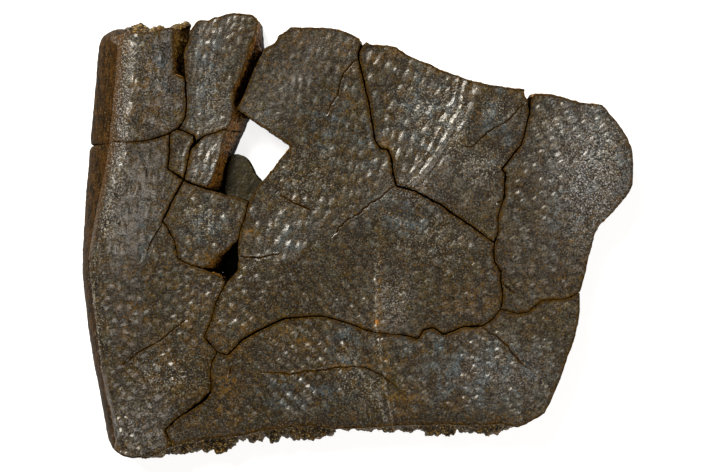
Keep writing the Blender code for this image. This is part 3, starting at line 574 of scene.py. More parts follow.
# Each fragment: its CAD node, the record's slot, spacing of its surface points, rows of its
# walls, and its edges clockwise as (kind of wall, lines)
fragments = {
    "rimUpper": {
        "node": "rim_upper", "slot": "rim_bone", "grain": 0.00022, "rows": 38,
        "edges": [(rolledJoint, rimCrackEnd), (rolledWall, rimUpperEdge),
                  (sutureWall, backLip, backTips), (slantedWall, gapRimSide, gapStripSide),
                  (uprightWall, crackAUpper + [meetAC, meetAB] + crackARim)]},
    "upperStrip": {
        "node": "upper_strip", "slot": "plate_bone", "grain": 0.00021, "rows": 28,
        "edges": [(brokenWall, stripTop), (slantedWall, stripWallTop, stripWallFoot),
                  (slantedWall, [meetCWallTop], [meetCWallFoot]),
                  (uprightWall, backwards(crackCRight) + [forkC] + backwards(crackCUpper) + [meetAC]),
                  (uprightWall, backwards(crackAUpper) + backwards(gapStripSide))]},
    "splinter": {
        "node": "sliver", "slot": "plate_bone", "grain": 0.00020, "rows": 26,
        "edges": [(uprightWall, [meetAC] + crackCUpper + [forkC] + crackCLower + [meetBD]),
                  (uprightWall, backwards(crackB) + [meetAB])]},
    "innerChip": {
        "node": "inner_chip", "slot": "plate_bone", "grain": 0.00020, "rows": 28,
        "edges": [(uprightWall, [forkC] + crackCRight), (slantedWall, [meetCWallTop], [meetCWallFoot]),
                  (slantedWall, chipWallTop, chipWallFoot),
                  (uprightWall, backwards(crackE) + [meetBD] + backwards(crackCLower))]},
    "middleLeft": {
        "node": "middle_left", "slot": "plate_bone", "grain": 0.00021, "rows": 36,
        "edges": [(uprightWall, [meetBD] + crackE + chipWallFoot[:-3:-1]),
                  (steppedWall, tongueLipKeys, tongueFootKeys, shell["tongue"]),
                  (uprightWall, [meetTongueLip] + crackContact + [pitTop]),
                  (slantedWall, pitWallTop, pitWallFoot), (uprightWall, [pitLeft] + backwards(crackD))]},
    "rimLower": {
        "node": "rim_lower", "slot": "rim_bone", "grain": 0.00023, "rows": 38,
        "edges": [(rolledJoint, rimCrackEnd),
                  (uprightWall, backwards(crackARim) + [meetAB] + crackB + [meetBD] + crackD + [pitLeft]),
                  (brokenWall, pitRimEdge), (uprightWall, [pitBottom] + crackFUpper),
                  (uprightWall, [meetFM] + crackFLower), (sutureWall, [meetFLip], [meetFTip]),
                  (sutureWall, cornerLip, cornerTips), (rolledWall, rimLowerEdge)]},
    "mainPlate": {
        "node": "main_plate", "slot": "plate_bone", "grain": 0.00023, "rows": 28,
        "edges": [(brokenWall, mainTop), (uprightWall, [notchG] + crackG + [meetGH] + crackH + [meetHK]),
                  (uprightWall, crackK + [meetKL] + backwards(crackM) + [meetFM]),
                  (uprightWall, backwards(crackFUpper) + [pitBottom]),
                  (steppedWall, pitMainEdge, pitMainFoot, shell["pitFloor"]), (uprightWall, [pitTop]),
                  (uprightWall, backwards(crackContact) + [meetTongueLip] + backwards(tongueSide)),
                  (uprightWall, [meetTongueHole]), (brokenWall, holeEdge),
                  (uprightWall, stripWallFoot[9:2:-1])]},
    "upperWedge": {
        "node": "upper_wedge", "slot": "plate_bone", "grain": 0.00021, "rows": 26,
        "edges": [(uprightWall, [notchG]), (brokenWall, wedgeTop),
                  (uprightWall, [notchJ] + crackJ + [meetHK]),
                  (uprightWall, backwards(crackH) + [meetGH] + backwards(crackG))]},
    "rightPlate": {
        "node": "right_plate", "slot": "plate_bone", "grain": 0.00022, "rows": 26,
        "edges": [(uprightWall, [notchJ]), (brokenWall, rightEdge),
                  (uprightWall, [edgeL] + backwards(crackL)),
                  (uprightWall, [meetKL] + backwards(crackK) + [meetHK] + backwards(crackJ))]},
    "lowerPlate": {
        "node": "lower_plate", "slot": "plate_bone", "grain": 0.00022, "rows": 28,
        "edges": [(uprightWall, [meetFM] + crackM + [meetKL] + crackL + [edgeL]),
                  (brokenWall, lowerRightEdge), (uprightWall, [frontLip[0]]), (frontSuture,),
                  (sutureWall, [meetFLip], [meetFTip]), (uprightWall, backwards(crackFLower))]},
}

# Fields of the ornament: middle, direction of the rows in degrees, spacing of the pebbles in
# metres, how much longer they are along the rows, their height, and their disorder
ornamentFields = {
    "bottomCorner": ((124, 432), 20, 0.0025, 1.0, 0.00038, 0.35),
    "lowerRim": ((150, 385), 48, 0.0022, 1.0, 0.00024, 0.6),
    "rimFoot": ((190, 420), 40, 0.0020, 1.0, 0.00010, 0.8),
    "leftMiddle": ((130, 320), 80, 0.0022, 1.1, 0.00019, 0.75),
    "leftSide": ((135, 225), 84, 0.0018, 2.4, 0.00019, 0.8),
    "leftInner": ((185, 305), 55, 0.0019, 1.1, 0.00011, 0.9),
    "rimField": ((158, 90), 84, 0.0022, 1.6, 0.00022, 0.8),
    "strip": ((214, 75), 84, 0.0014, 2.8, 0.00011, 0.8),
    "stripEnd": ((225, 25), 66, 0.0016, 1.6, 0.00010, 0.9),
    "sliverField": ((182, 155), 86, 0.0015, 2.4, 0.00012, 0.8),
    "chipField": ((205, 162), 80, 0.0016, 2.4, 0.00013, 0.8),
    "middle": ((205, 228), 82, 0.0021, 1.6, 0.00018, 0.75),
    "mainLeft": ((262, 105), 60, 0.0020, 1.2, 0.00005, 0.9),
    "mainUpper": ((320, 90), 84, 0.0019, 1.9, 0.00011, 0.6),
    "mainHigh": ((310, 40), 75, 0.0018, 1.6, 0.00006, 0.8),
    "mainInner": ((300, 180), 82, 0.0020, 1.6, 0.00014, 0.65),
    "mainLow": ((275, 235), 84, 0.0021, 1.7, 0.00017, 0.65),
    "mainCentre": ((360, 150), 74, 0.0019, 1.5, 0.00011, 0.7),
    "mainSmooth": ((350, 250), 70, 0.0019, 1.2, 0.00008, 0.9),
    "belowPit": ((255, 300), 60, 0.0019, 1.1, 0.00013, 0.8),
    "centre": ((425, 225), 60, 0.0020, 1.3, 0.00013, 0.9),
    "mainRight": ((445, 290), 8, 0.0020, 1.4, 0.00015, 0.8),
    "wedgeLeft": ((395, 85), 66, 0.0022, 1.7, 0.00015, 0.45),
    "wedgeLow": ((400, 145), 74, 0.0021, 1.6, 0.00015, 0.55),
    "wedgeInner": ((440, 105), 60, 0.0020, 2.0, 0.00017, 0.45),
    "wedgeRight": ((490, 110), 28, 0.0024, 1.8, 0.00010, 0.8),
    "wedgeFoot": ((465, 185), 32, 0.0026, 1.8, 0.00012, 0.9),
    "rightUpper": ((575, 130), 24, 0.0019, 1.5, 0.00018, 0.55),
    "rightLower": ((555, 200), 12, 0.0018, 1.3, 0.00014, 0.85),
    "rightFoot": ((545, 265), 5, 0.0019, 1.4, 0.00012, 0.8),
    "lowRight": ((485, 375), 4, 0.0018, 1.5, 0.00021, 0.6),
    "lowFarRight": ((545, 345), 10, 0.0018, 1.3, 0.00012, 0.8),
    "lowMiddle": ((425, 370), 8, 0.0018, 1.4, 0.00014, 0.8),
    "betweenLines": ((362, 400), -62, 0.0018, 1.8, 0.00018, 0.7),
    "aboveLines": ((345, 300), -58, 0.0019, 1.4, 0.00018, 0.75),
    "diamonds": ((285, 375), 48, 0.0021, 1.0, 0.00019, 0.45),
    "diamondsLeft": ((240, 400), 50, 0.0021, 1.0, 0.00017, 0.5),
}

# How the fields meet, in the drawing: how far their borders stray, in bends of what size, and how
# wide they mix. The heights above are all multiplied by "emphasis".
fieldBorders = {"stray": 9.0, "straySize": 16.0, "mix": 12.0, "emphasis": 1.5}


def ornamentAt(points):
    # coordinates of the pebble rows in the two nearest fields, and how far they mix
    centres = np.array([field[0] for field in ornamentFields.values()])
    settings = np.array([field[1:] for field in ornamentFields.values()])
    stray = strayAt(points, fieldBorders["straySize"], (3.1, 8.4)) * fieldBorders["stray"]
    reach = np.hypot(*(points[:, None] + stray[:, None] - centres[None]).transpose(2, 0, 1))
    order = np.argsort(reach, axis=1)
    nearest = np.take_along_axis(reach, order[:, :2], 1)
    mix = 0.5 * (1.0 - smoothStep(nearest[:, 1] - nearest[:, 0], 0.0, fieldBorders["mix"]))
    places = toMetres(points)
    rows, rises = [], []
    for chosen in (order[:, 0], order[:, 1]):
        angle, spacing, stretch, rise, disorder = settings[chosen].T
        angle = np.radians(angle)
        ahead = places[:, 0] * np.cos(angle) + places[:, 1] * np.sin(angle)
        aside = places[:, 1] * np.cos(angle) - places[:, 0] * np.sin(angle)
        rows.append(np.stack([ahead / (spacing * stretch) + 40.0 * chosen, aside / spacing, disorder], -1))
        rises.append(rise)
    rise = (rises[0] * (1.0 - mix) + rises[1] * mix) * fieldBorders["emphasis"]
    return rows[0], rows[1], mix, rise


def rollOf(points):
    # 1 at the rim's edge, 0 at its crest
    return 1.0 - smoothStep(rimInset(points) / crestInset(points[:, 1]), 0.35, 0.85)


def ornamentStrength(points):
    # the ornament fades out on the rim and along the suture
    inset = rimInset(points)
    side = smoothStep(inset - crestInset(points[:, 1]) * 0.75, -4.0, 12.0)
    lip = lineHeightAt(frontLip, np.clip(points[:, 0], 172.0, 518.0))
    front = smoothStep((lip - points[:, 1]) * unit, 0.0012, 0.0042)
    corner = smoothStep(175.0 - points[:, 0], 0.0, 12.0) * smoothStep(456.0 - points[:, 1], 0.0, 8.0)
    corner = corner * smoothStep(inset, 7.0, 14.0)
    return np.maximum(side * front, corner * smoothStep(points[:, 1], 380.0, 410.0))


# Sizes of the walls and joints, in metres
joints = {
    "pegStep": 0.00017,         # between the columns of a suture, and of the other walls
    "step": 0.00030,
    "wander": 0.00020,          # how far a joint strays, and the size of its bends
    "wanderSize": 0.0034,
    "jag": 0.00008,             # the same for its small jags
    "jagSize": 0.0009,
    "bend": 0.00032,            # how far it leans on its way down, and which way
    "bendWay": (0.8, 0.6),
    "chip": 0.00028,            # depth and size of the chips along the lips
    "chipSize": 0.0016,
    "easing": 0.00002,          # taken off every lip
}


def subdivided(control):
    # fine columns between the control columns of a closed outline
    following = np.roll(control, -1, 0)
    reach = np.hypot(*(following - control)[:, :, :2].transpose(2, 0, 1)).max(1) * unit
    suture = keyParts["suture"]
    sutured = np.minimum(control[:, 0, suture], following[:, 0, suture]) > 0.5
    step = np.where(sutured, joints["pegStep"], joints["step"])
    parts = []
    for start, end, count in zip(control, following, np.maximum(1, np.ceil(reach / step)).astype(int)):
        share = (np.arange(count) / count)[:, None, None]
        parts.append(start[None] * (1.0 - share) + end[None] * share)
    return np.concatenate(parts)


def softened(values, passes):
    for _ in range(passes):
        values = (np.roll(values, 1, 0) + 2.0 * values + np.roll(values, -1, 0)) / 4.0
    return values


def warp(places, z):
    # the same wandering for every fragment, so that the two sides of a crack still match, and
    # bent on its way down, so that nothing is seen through it
    spots = np.column_stack([places, z * 0.35])
    wander = strayAt(spots, joints["wanderSize"], (11.0, 29.0)) * joints["wander"]
    wander = wander + strayAt(spots, joints["jagSize"], (5.0, 17.0)) * joints["jag"]
    bend = smoothStep(z, shell["plate"] * 0.75, shell["plate"] * 0.35)
    return wander + (bend * joints["bend"])[:, None] * np.array(joints["bendWay"])


# How far the widths given along the cracks reach in the drawing, also for those of more than
# "open" mm, and how much the plain glue line weighs against them
crackReach = {"plain": 10.0, "wide": 5.5, "open": 0.5, "glueWeight": 0.02}


def crackWidthAt(points):
    # the widths given along the cracks, faded into each other
    total = np.full(len(points), crackReach["glueWeight"])
    width = total * shell["glueLine"]
    for places in crackWidths.values():
        for place, wide in places:
            reach = crackReach["wide" if wide > crackReach["open"] else "plain"]
            weight = np.exp(-np.sum((points - place) ** 2, 1) / reach ** 2)
            total += weight
            width += weight * wide / 1000.0
    return width / total


def tintAt(points, spots):
    strength = np.zeros(len(points))
    for centre, across, down, most in spots:
        away = (points - np.array(centre)) / (across, down)
        strength = np.maximum(strength, most * np.exp(-np.sum(away * away, 1)))
    return strength


def ridgeTint(points):
    # painted highlight: the sulcus and the scute lines are coloured pale
    paintedGlints = np.zeros(len(points))
    for spec in surfaceLines.values():
        paintedGlints = np.maximum(paintedGlints, bell(lineDistance(points, spec["line"])[0], spec["highlightWidth"]))
    return paintedGlints * np.clip(0.55 + 0.8 * noiseAt(points, shell["raggedSize"], 19.0, 2), 0.0, 1.0)


def fragmentColumns(spec):
    # the walls of a fragment in metres, as columns by rows, and their kinds of bone
    control = np.concatenate([kind(spec["rows"], *lines) for kind, *lines in spec["edges"]])
    columns = subdivided(control)
    count, rows = columns.shape[:2]
    rolled = columns[:, :, keyParts["rolled"]][:, :, None]
    smooth = softened(columns[:, :, :2], 14)
    columns[:, :, :2] = softened(columns[:, :, :2], 1) * (1.0 - rolled) + smooth * rolled
    columns[:, :, 3:] = softened(columns[:, :, 3:], 2)

    flat = columns[:, :, :2].reshape(-1, 2)
    places = toMetres(flat)
    z = columns[:, :, 2].reshape(-1)
    share = np.tile(np.linspace(0.0, 1.0, rows), count)
    places = places + warp(places, z) * (1.0 - 0.6 * rolled.reshape(-1, 1))
    places = places.reshape(count, rows, 2)

    # half the crack's width, and a chipped lip
    ahead = np.roll(places, -1, 0) - np.roll(places, 1, 0)
    ahead = ahead / np.maximum(np.hypot(ahead[..., 0], ahead[..., 1]), 1e-9)[..., None]
    inward = np.stack([ahead[..., 1], -ahead[..., 0]], -1)
    width = crackWidthAt(flat) * (0.5 + 0.12 * noiseAt(places.reshape(-1, 2), 0.003, 2.0))
    chips = np.clip(noiseAt(places.reshape(-1, 2), joints["chipSize"], 7.0, 2), 0.0, 1.0) ** 2
    lip = smoothStep(share, 1.0 - 1.6 / rows, 1.0)
    inset = width * smoothStep(share, 0.2, 0.8)
    inset = inset + (joints["easing"] + chips * joints["chip"]) * lip * (1.0 - rolled.reshape(-1))
    places = places + inward * inset.reshape(count, rows, 1)

    top = outerSurface(toPlan(places[:, -1]))
    foot = innerSurface(places[:, 0])
    z = columns[:, :, 2] * (top / columns[:, -1, 2])[:, None]
    z = np.maximum(z, foot[:, None] * (1.0 - np.linspace(0.0, 1.0, rows))[None] ** 2)
    z[:, 0] = foot
    return np.concatenate([places, z[:, :, None]], 2), columns[:, :, 3:]


# Height of each pattern on each kind of bone, in metres
wallRelief = {
    "broken": {"hollow": -0.00037, "coarse": 0.00022, "fine": 0.00009, "fibres": 0.00012},
    "suture": {"lumps": 0.0008, "coarse": 0.00022, "fine": 0.00012},
    "rolled": {"coarse": 0.00005, "fibres": 0.00005},
    "inner": {"coarse": 0.00010, "fine": 0.00002},
    "plain": {"coarse": 0.00009, "fine": 0.00005},
}


def roughened(walls, kinds):
    # the relief of each kind of bone, along the normals of the walls
    around = np.roll(walls, -1, 0) - np.roll(walls, 1, 0)
    upward = np.empty_like(walls)
    upward[:, 1:-1] = walls[:, 2:] - walls[:, :-2]
    upward[:, 0] = walls[:, 1] - walls[:, 0]
    upward[:, -1] = walls[:, -1] - walls[:, -2]
    normals = np.cross(upward, around)
    normals = normals / np.maximum(np.linalg.norm(normals, axis=2), 1e-12)[:, :, None]
    count, rows = walls.shape[:2]
    flat = walls.reshape(-1, 3)
    bones = {part: kinds[:, :, column - 3].reshape(-1) for part, column in keyParts.items()}
    bones["plain"] = 1.0 - np.clip(sum(bones.values()), 0.0, 1.0)

    # a hollow between the dense outer and inner layers, round lumps on the pegs, and fibres
    middle = smoothStep(flat[:, 2], 0.0, 0.0035)
    middle = middle * smoothStep(shell["plate"] - 0.0017 - flat[:, 2], 0.0, 0.003)
    lumps = np.zeros(len(flat))
    pegged = bones["suture"] > 0.05
    pegs = flat[pegged] * (1.0, 1.0, 0.6)
    lumps[pegged] = lumpsAt(pegs, 0.0015, 7.3) + 0.5 * lumpsAt(pegs, 0.0007, 2.9)
    patterns = {
        "hollow": middle * (0.5 + 0.5 * noiseAt(flat, 0.0024, 1.0)),
        "lumps": lumps - 0.08,
        "coarse": noiseAt(flat, 0.0010, 4.0, 2),
        "fine": noiseAt(flat, 0.00045, 9.0),
        "fibres": noiseAt(np.column_stack([flat[:, :2], flat[:, 2] * 0.12]), 0.00055, 12.0),
    }
    relief = 0.0
    for bone, heights in wallRelief.items():
        relief = relief + bones[bone] * sum(height * patterns[name] for name, height in heights.items())

    share = np.tile(np.linspace(0.0, 1.0, rows), count)
    foot = smoothStep(share, 0.0, 0.06)
    held = foot * smoothStep(1.0 - share, 0.0, 0.06 + 0.25 * bones["suture"])
    held = np.maximum(held, bones["rolled"] * foot)
    return walls + normals * (relief * held).reshape(count, rows, 1)


def insideOf(points, outline):
    inside = np.zeros(len(points), bool)
    for start, end in zip(outline, np.roll(outline, -1, 0)):
        if start[1] != end[1]:
            between = (start[1] > points[:, 1]) != (end[1] > points[:, 1])
            slope = (end[0] - start[0]) / (end[1] - start[1])
            inside ^= between & (points[:, 0] < start[0] + (points[:, 1] - start[1]) * slope)
    return inside


def nearestOn(outline, points):
    # the nearest point of an outline to each point: its number, and how far it is
    tree = kdtree.KDTree(len(outline))
    for index, point in enumerate(outline.tolist()):
        tree.insert((*point, 0.0), index)
    tree.balance()
    found = [tree.find((*point, 0.0)) for point in points.tolist()]
    return np.array([item[1] for item in found], int), np.array([item[2] for item in found])


# How far the points of a sheet are scattered, and how near they come to those given, in spacings
sheet = {"scatter": 0.22, "clearance": 0.62}


def sheetOver(outline, spacing, seed, extra=()):
    # fills a closed outline with evenly scattered points; the outline's points come first
    count = len(outline)
    low, high = outline.min(0), outline.max(0)
    rng = np.random.default_rng(seed)
    across = np.arange(low[0], high[0], spacing)
    down = np.arange(low[1], high[1], spacing * math.sqrt(0.75))
    grid = np.stack(np.meshgrid(across, down), -1)
    grid[1::2, :, 0] += spacing / 2.0
    scatter = rng.uniform(-sheet["scatter"], sheet["scatter"], (grid.size // 2, 2))
    points = grid.reshape(-1, 2) + scatter * spacing
    kept = np.vstack([outline, extra]) if len(extra) else outline
    cell = spacing * sheet["clearance"]
    taken = np.floor((kept - low) / cell).astype(int)
    offsets = np.array([(i, j) for i in (-1, 0, 1) for j in (-1, 0, 1)])
    taken = (taken[:, None] + offsets[None]).reshape(-1, 2)
    places = np.floor((points - low) / cell).astype(int)
    free = ~np.isin(places[:, 0] * 100000 + places[:, 1], taken[:, 0] * 100000 + taken[:, 1])
    points = points[free]
    points = np.vstack([kept, points[insideOf(points, outline)]])
    # the triangles keep the outline's edges; where two of those cross, the new point takes the
    # number of the nearest point of the outline
    edges = [(index, (index + 1) % count) for index in range(count)]
    found = delaunay_2d_cdt([Vector(point) for point in points.tolist()], edges, [], 1, 1e-9, True)
    vertices, faces, origins = found[0], found[2], found[3]
    old = np.array([origin[0] if origin else -1 for origin in origins])
    places = np.array([tuple(vertex) for vertex in vertices])
    lost = old < 0
    if lost.any():
        old[lost] = nearestOn(outline, places[lost])[0]
    triangles = old[np.array([face for face in faces if len(face) == 3])]
    whole = (triangles[:, 0] != triangles[:, 1]) & (triangles[:, 1] != triangles[:, 2])
    triangles = triangles[whole & (triangles[:, 0] != triangles[:, 2])]
    inside = (triangles >= count).any(1)
    unsure = np.flatnonzero(~inside)
    inside[unsure] = insideOf(points[triangles[unsure]].mean(1), outline)
    triangles = triangles[inside]
    used = np.unique(np.concatenate([np.arange(count), triangles.reshape(-1)]))
    renumbered = np.full(len(points), -1)
    renumbered[used] = np.arange(len(used))
    return points[used], renumbered[triangles], int(lost.sum())


# Fine cracks, in metres: the spacing of their points, which is also kept from a fragment's edge,
# the size and reach of their jags, and the reach of the painted shade in them
fineCrack = {"spacing": 0.00012, "jagSize": 0.0011, "jag": 0.00022, "shadeReach": 0.00012}


def crackPoints(line, width):
    # three rows of points that follow a fine crack: its two lips and its bed
    length = np.hypot(*np.diff(np.array(line), axis=0).T).sum() * unit
    places = toMetres(along(line, int(length / fineCrack["spacing"]) + 2))
    jags = strayAt(places, fineCrack["jagSize"], (13.0, 31.0)) * fineCrack["jag"]
    places = places + warp(places, np.zeros(len(places))) + jags
    ahead = np.gradient(places, axis=0)
    aside = np.stack([-ahead[:, 1], ahead[:, 0]], -1) / np.hypot(*ahead.T)[:, None]
    taper = np.sin(np.linspace(0.06, 0.94, len(places)) * math.pi)[:, None] ** 0.4
    taper = taper * (0.75 + 0.35 * noiseAt(places, 0.0012, 3.0)[:, None])
    lips = aside * width / 2.0 * taper
    return [places - lips, places + lips, places], taper[:, 0]


def fineCrackRows(outline):
    # the points of the fine cracks inside an outline, how deep each one is, and the cracks' beds
    rows, depths, beds, tapers = [], [], [], []
    for line, width, depth in fineCracks.values():
        three, taper = crackPoints(line, width)
        rows += three
        depths += [taper * 0.0, taper * 0.0, taper * depth]
        beds.append(three[2])
        tapers.append(taper)
    rows, depths = np.concatenate(rows), np.concatenate(depths)
    kept = insideOf(rows, outline) & (nearestOn(outline, rows)[1] > fineCrack["spacing"])
    return rows[kept], depths[kept], np.concatenate(beds), np.concatenate(tapers)


# What happens beside the lips of joints and fine cracks, in metres where it is a distance
margins = {
    "far": 1.0,                 # stands for no lip near
    "rollEases": 0.0015,        # added to the distance from a lip on the roll
    "fineScale": 1.6,           # makes a fine crack's margin narrower
    "fineEnds": 0.002,          # and narrower still at its ends
    "flat": 0.0012,             # the ornament rises from nothing at a lip to full this far from it
    "dullFlattens": 0.35,
}
# How strong the grain is: on smooth bone, more for each metre of rise and where glints are painted
grainy = {"plain": 0.40, "toRise": 1600.0, "toPaintedGlints": 0.3, "most": 1.2, "dullTakes": 0.7}
# The kinds of bone, numbered in the order of boneKinds
boneNumbers = {"broken": 0.0, "cortex": 1.0, "suture": 2.0, "rolled": 3.0, "inner": 4.0, "glued": 5.0}
steepness = 0.62                # a face that looks up less than this belongs to the rim's side
grooveDepth = 0.00005           # a face that is sunk more than this belongs to a fine crack


def pointValues(vertices, topIds, outline, gap, taper):
    # what the ornament and the materials read at each point; gap and taper are the distance to
    # the nearest fine crack and how open it is there
    plan = toPlan(vertices[:, :2])
    onTop = np.zeros(len(vertices))
    onTop[topIds] = 1.0
    roll = rollOf(plan)
    fineGap = gap * margins["fineScale"] + (1.0 - np.minimum(taper * 2.0, 1.0)) * margins["fineEnds"]
    lipGap = np.full(len(vertices), margins["far"])
    lipGap[topIds] = nearestOn(outline, vertices[topIds, :2])[1]
    lipGap[topIds] = np.minimum(lipGap[topIds] + roll[topIds] * margins["rollEases"], fineGap)
    # painted shade in the fine cracks, strongest along their beds
    crackShade = np.zeros(len(vertices))
    crackShade[topIds] = taper * bell(gap, fineCrack["shadeReach"])

    rowsA, rowsB, mix, rise = ornamentAt(plan)
    strength = ornamentStrength(plan) * onTop * smoothStep(lipGap, 0.0, margins["flat"])
    values = {label: tintAt(plan, spots) for label, spots in tints.items()}
    rise = rise * strength * (1.0 - margins["dullFlattens"] * values["dull"])
    grain = grainy["plain"] + grainy["toRise"] * rise + grainy["toPaintedGlints"] * values["paintedGlints"]
    grain = np.clip(grain, 0.0, grainy["most"]) * onTop * (1.0 - grainy["dullTakes"] * values["dull"])
    values.update({"lipGap": lipGap, "crackShade": crackShade, "fieldMix": mix, "rise": rise,
                   "roll": roll, "ridgeHighlight": ridgeTint(plan), "grainy": grain,
                   # painted shade: 1 at the foot of a wall, fading out upwards
                   "footShade": 1.0 - smoothStep(vertices[:, 2], 0.0005, 0.0075),
                   "rowsA": rowsA, "rowsB": rowsB})
    return values


def faceBones(kinds, corners, depth):
    # the number of the bone on each face of the walls and of the outer surface
    walls = np.full(kinds.shape[:2], boneNumbers["glued"])
    for part, column in keyParts.items():
        walls[kinds[:, :, column - 3] > 0.5] = boneNumbers[part]
    slope = np.cross(corners[:, 1] - corners[:, 0], corners[:, 2] - corners[:, 0])
    steep = slope[:, 2] < steepness * np.linalg.norm(slope, axis=1)
    steep = steep & (depth <= 0.0).all(1)
    surface = np.where(steep, boneNumbers["rolled"], boneNumbers["cortex"])
    surface = np.where((depth > grooveDepth).any(1), boneNumbers["glued"], surface)
    return [walls[:, :-1].reshape(-1), surface]


def buildFragment(name):
    spec = fragments[name]
    walls, kinds = fragmentColumns(spec)
    walls = roughened(walls, kinds)
    count, rows = walls.shape[:2]
    outline = walls[:, -1, :2]
    seed = sum(ord(letter) for letter in name)

    cracks, depths, beds, tapers = fineCrackRows(outline)
    top, topFaces, crossed = sheetOver(outline, spec["grain"], seed, cracks)
    base, baseFaces, _ = sheetOver(walls[:, 0, :2], shell["innerGrain"], seed + 1)
    depth = np.zeros(len(top))
    depth[count:count + len(cracks)] = depths
    top, base = top[count:], base[count:]
    vertices = np.vstack([walls.reshape(-1, 3),
                          np.column_stack([top, outerSurface(toPlan(top)) - depth[count:]]),
                          np.column_stack([base, innerSurface(base)])])
    vertices = np.clip(vertices, list(cadLow), list(cadHigh))

    # the walls' points come first, column by column, and the two sheets share their ends
    feet = np.arange(count) * rows
    topIds = np.concatenate([feet + rows - 1, count * rows + np.arange(len(top))])
    baseIds = np.concatenate([feet, count * rows + len(top) + np.arange(len(base))])
    here = (feet[:, None] + np.arange(rows - 1)[None]).reshape(-1)
    beside = (np.roll(feet, -1)[:, None] + np.arange(rows - 1)[None]).reshape(-1)
    quads = np.stack([here, here + 1, beside + 1, beside], -1)
    faces = quads.tolist() + topIds[topFaces].tolist() + baseIds[baseFaces[:, ::-1]].tolist()
    mesh = bpy.data.meshes.new(name)
    mesh.from_pydata(vertices.tolist(), [], faces)

    nearest, gap = nearestOn(beds, np.vstack([outline, top]))
    for label, data in pointValues(vertices, topIds, outline, gap, tapers[nearest]).items():
        kind, field = ('FLOAT', "value") if data.ndim == 1 else ('FLOAT_VECTOR', "vector")
        mesh.attributes.new(label, kind, 'POINT').data.foreach_set(field, data.reshape(-1))
    bones = faceBones(kinds, vertices[topIds[topFaces]], depth[topFaces])
    bones = np.concatenate([*bones, np.full(len(baseFaces), boneNumbers["inner"])])
    mesh.attributes.new("boneKind", 'FLOAT', 'FACE').data.foreach_set("value", bones)
    # joints, breaks and fine cracks are crisp, and everything else is smooth
    crisp = np.isin(bones, (boneNumbers["broken"], boneNumbers["glued"]))
    mesh.polygons.foreach_set("use_smooth", ~crisp)
    print(f"{name}: {count} columns, {len(vertices)} points, {crossed} crossings")
    piece = bpy.data.objects.new(name, mesh)
    bpy.context.scene.collection.objects.link(piece)
    return piece


# Nodes
def addNode(tree, kind, settings=None, sockets=None):
    # one node, its settings, and its inputs: each a value, an output or a node's first output
    node = tree.nodes.new(kind)
    for label, value in (settings or {}).items():
        setattr(node, label, value)
    for label, value in (sockets or {}).items():
        if isinstance(value, bpy.types.Node):
            value = value.outputs[0]
        if isinstance(value, bpy.types.NodeSocket):
            tree.links.new(value, node.inputs[label])
        else:
            node.inputs[label].default_value = value
    return node


def linearColour(code, alpha=1.0):
    # an sRGB hex code as linear colour
    parts = [int(code[index:index + 2], 16) / 255.0 for index in (1, 3, 5)]
    parts = [part / 12.92 if part <= 0.04045 else ((part + 0.055) / 1.055) ** 2.4 for part in parts]
    return (*parts, alpha)


ornament = {
    "Flank": 0.56,          # how far from its middle a pebble's flank ends, in pebble spacings
    "Crown": 0.06,          # and where it begins
    "Unevenness": 0.75,     # how much the pebbles differ in height
    "Sunk": 0.35,           # share of a pebble's height that lies below the smooth bone
    "Stray": 0.40,          # how far the pebbles stray from their rows, in pebble spacings
    "Strays": 700.0,        # bends of that to a metre
    "Strokes": 2.6,         # fine strokes along the rows, to a pebble spacing
    "Grain": 0.00011,       # height of those strokes, in metres
    "Pits": 900.0,          # pits to a metre, and their depth
    "Pitting": 0.00006,
    "Full rise": 0.00013,   # height from which a pebble is coloured as one
}


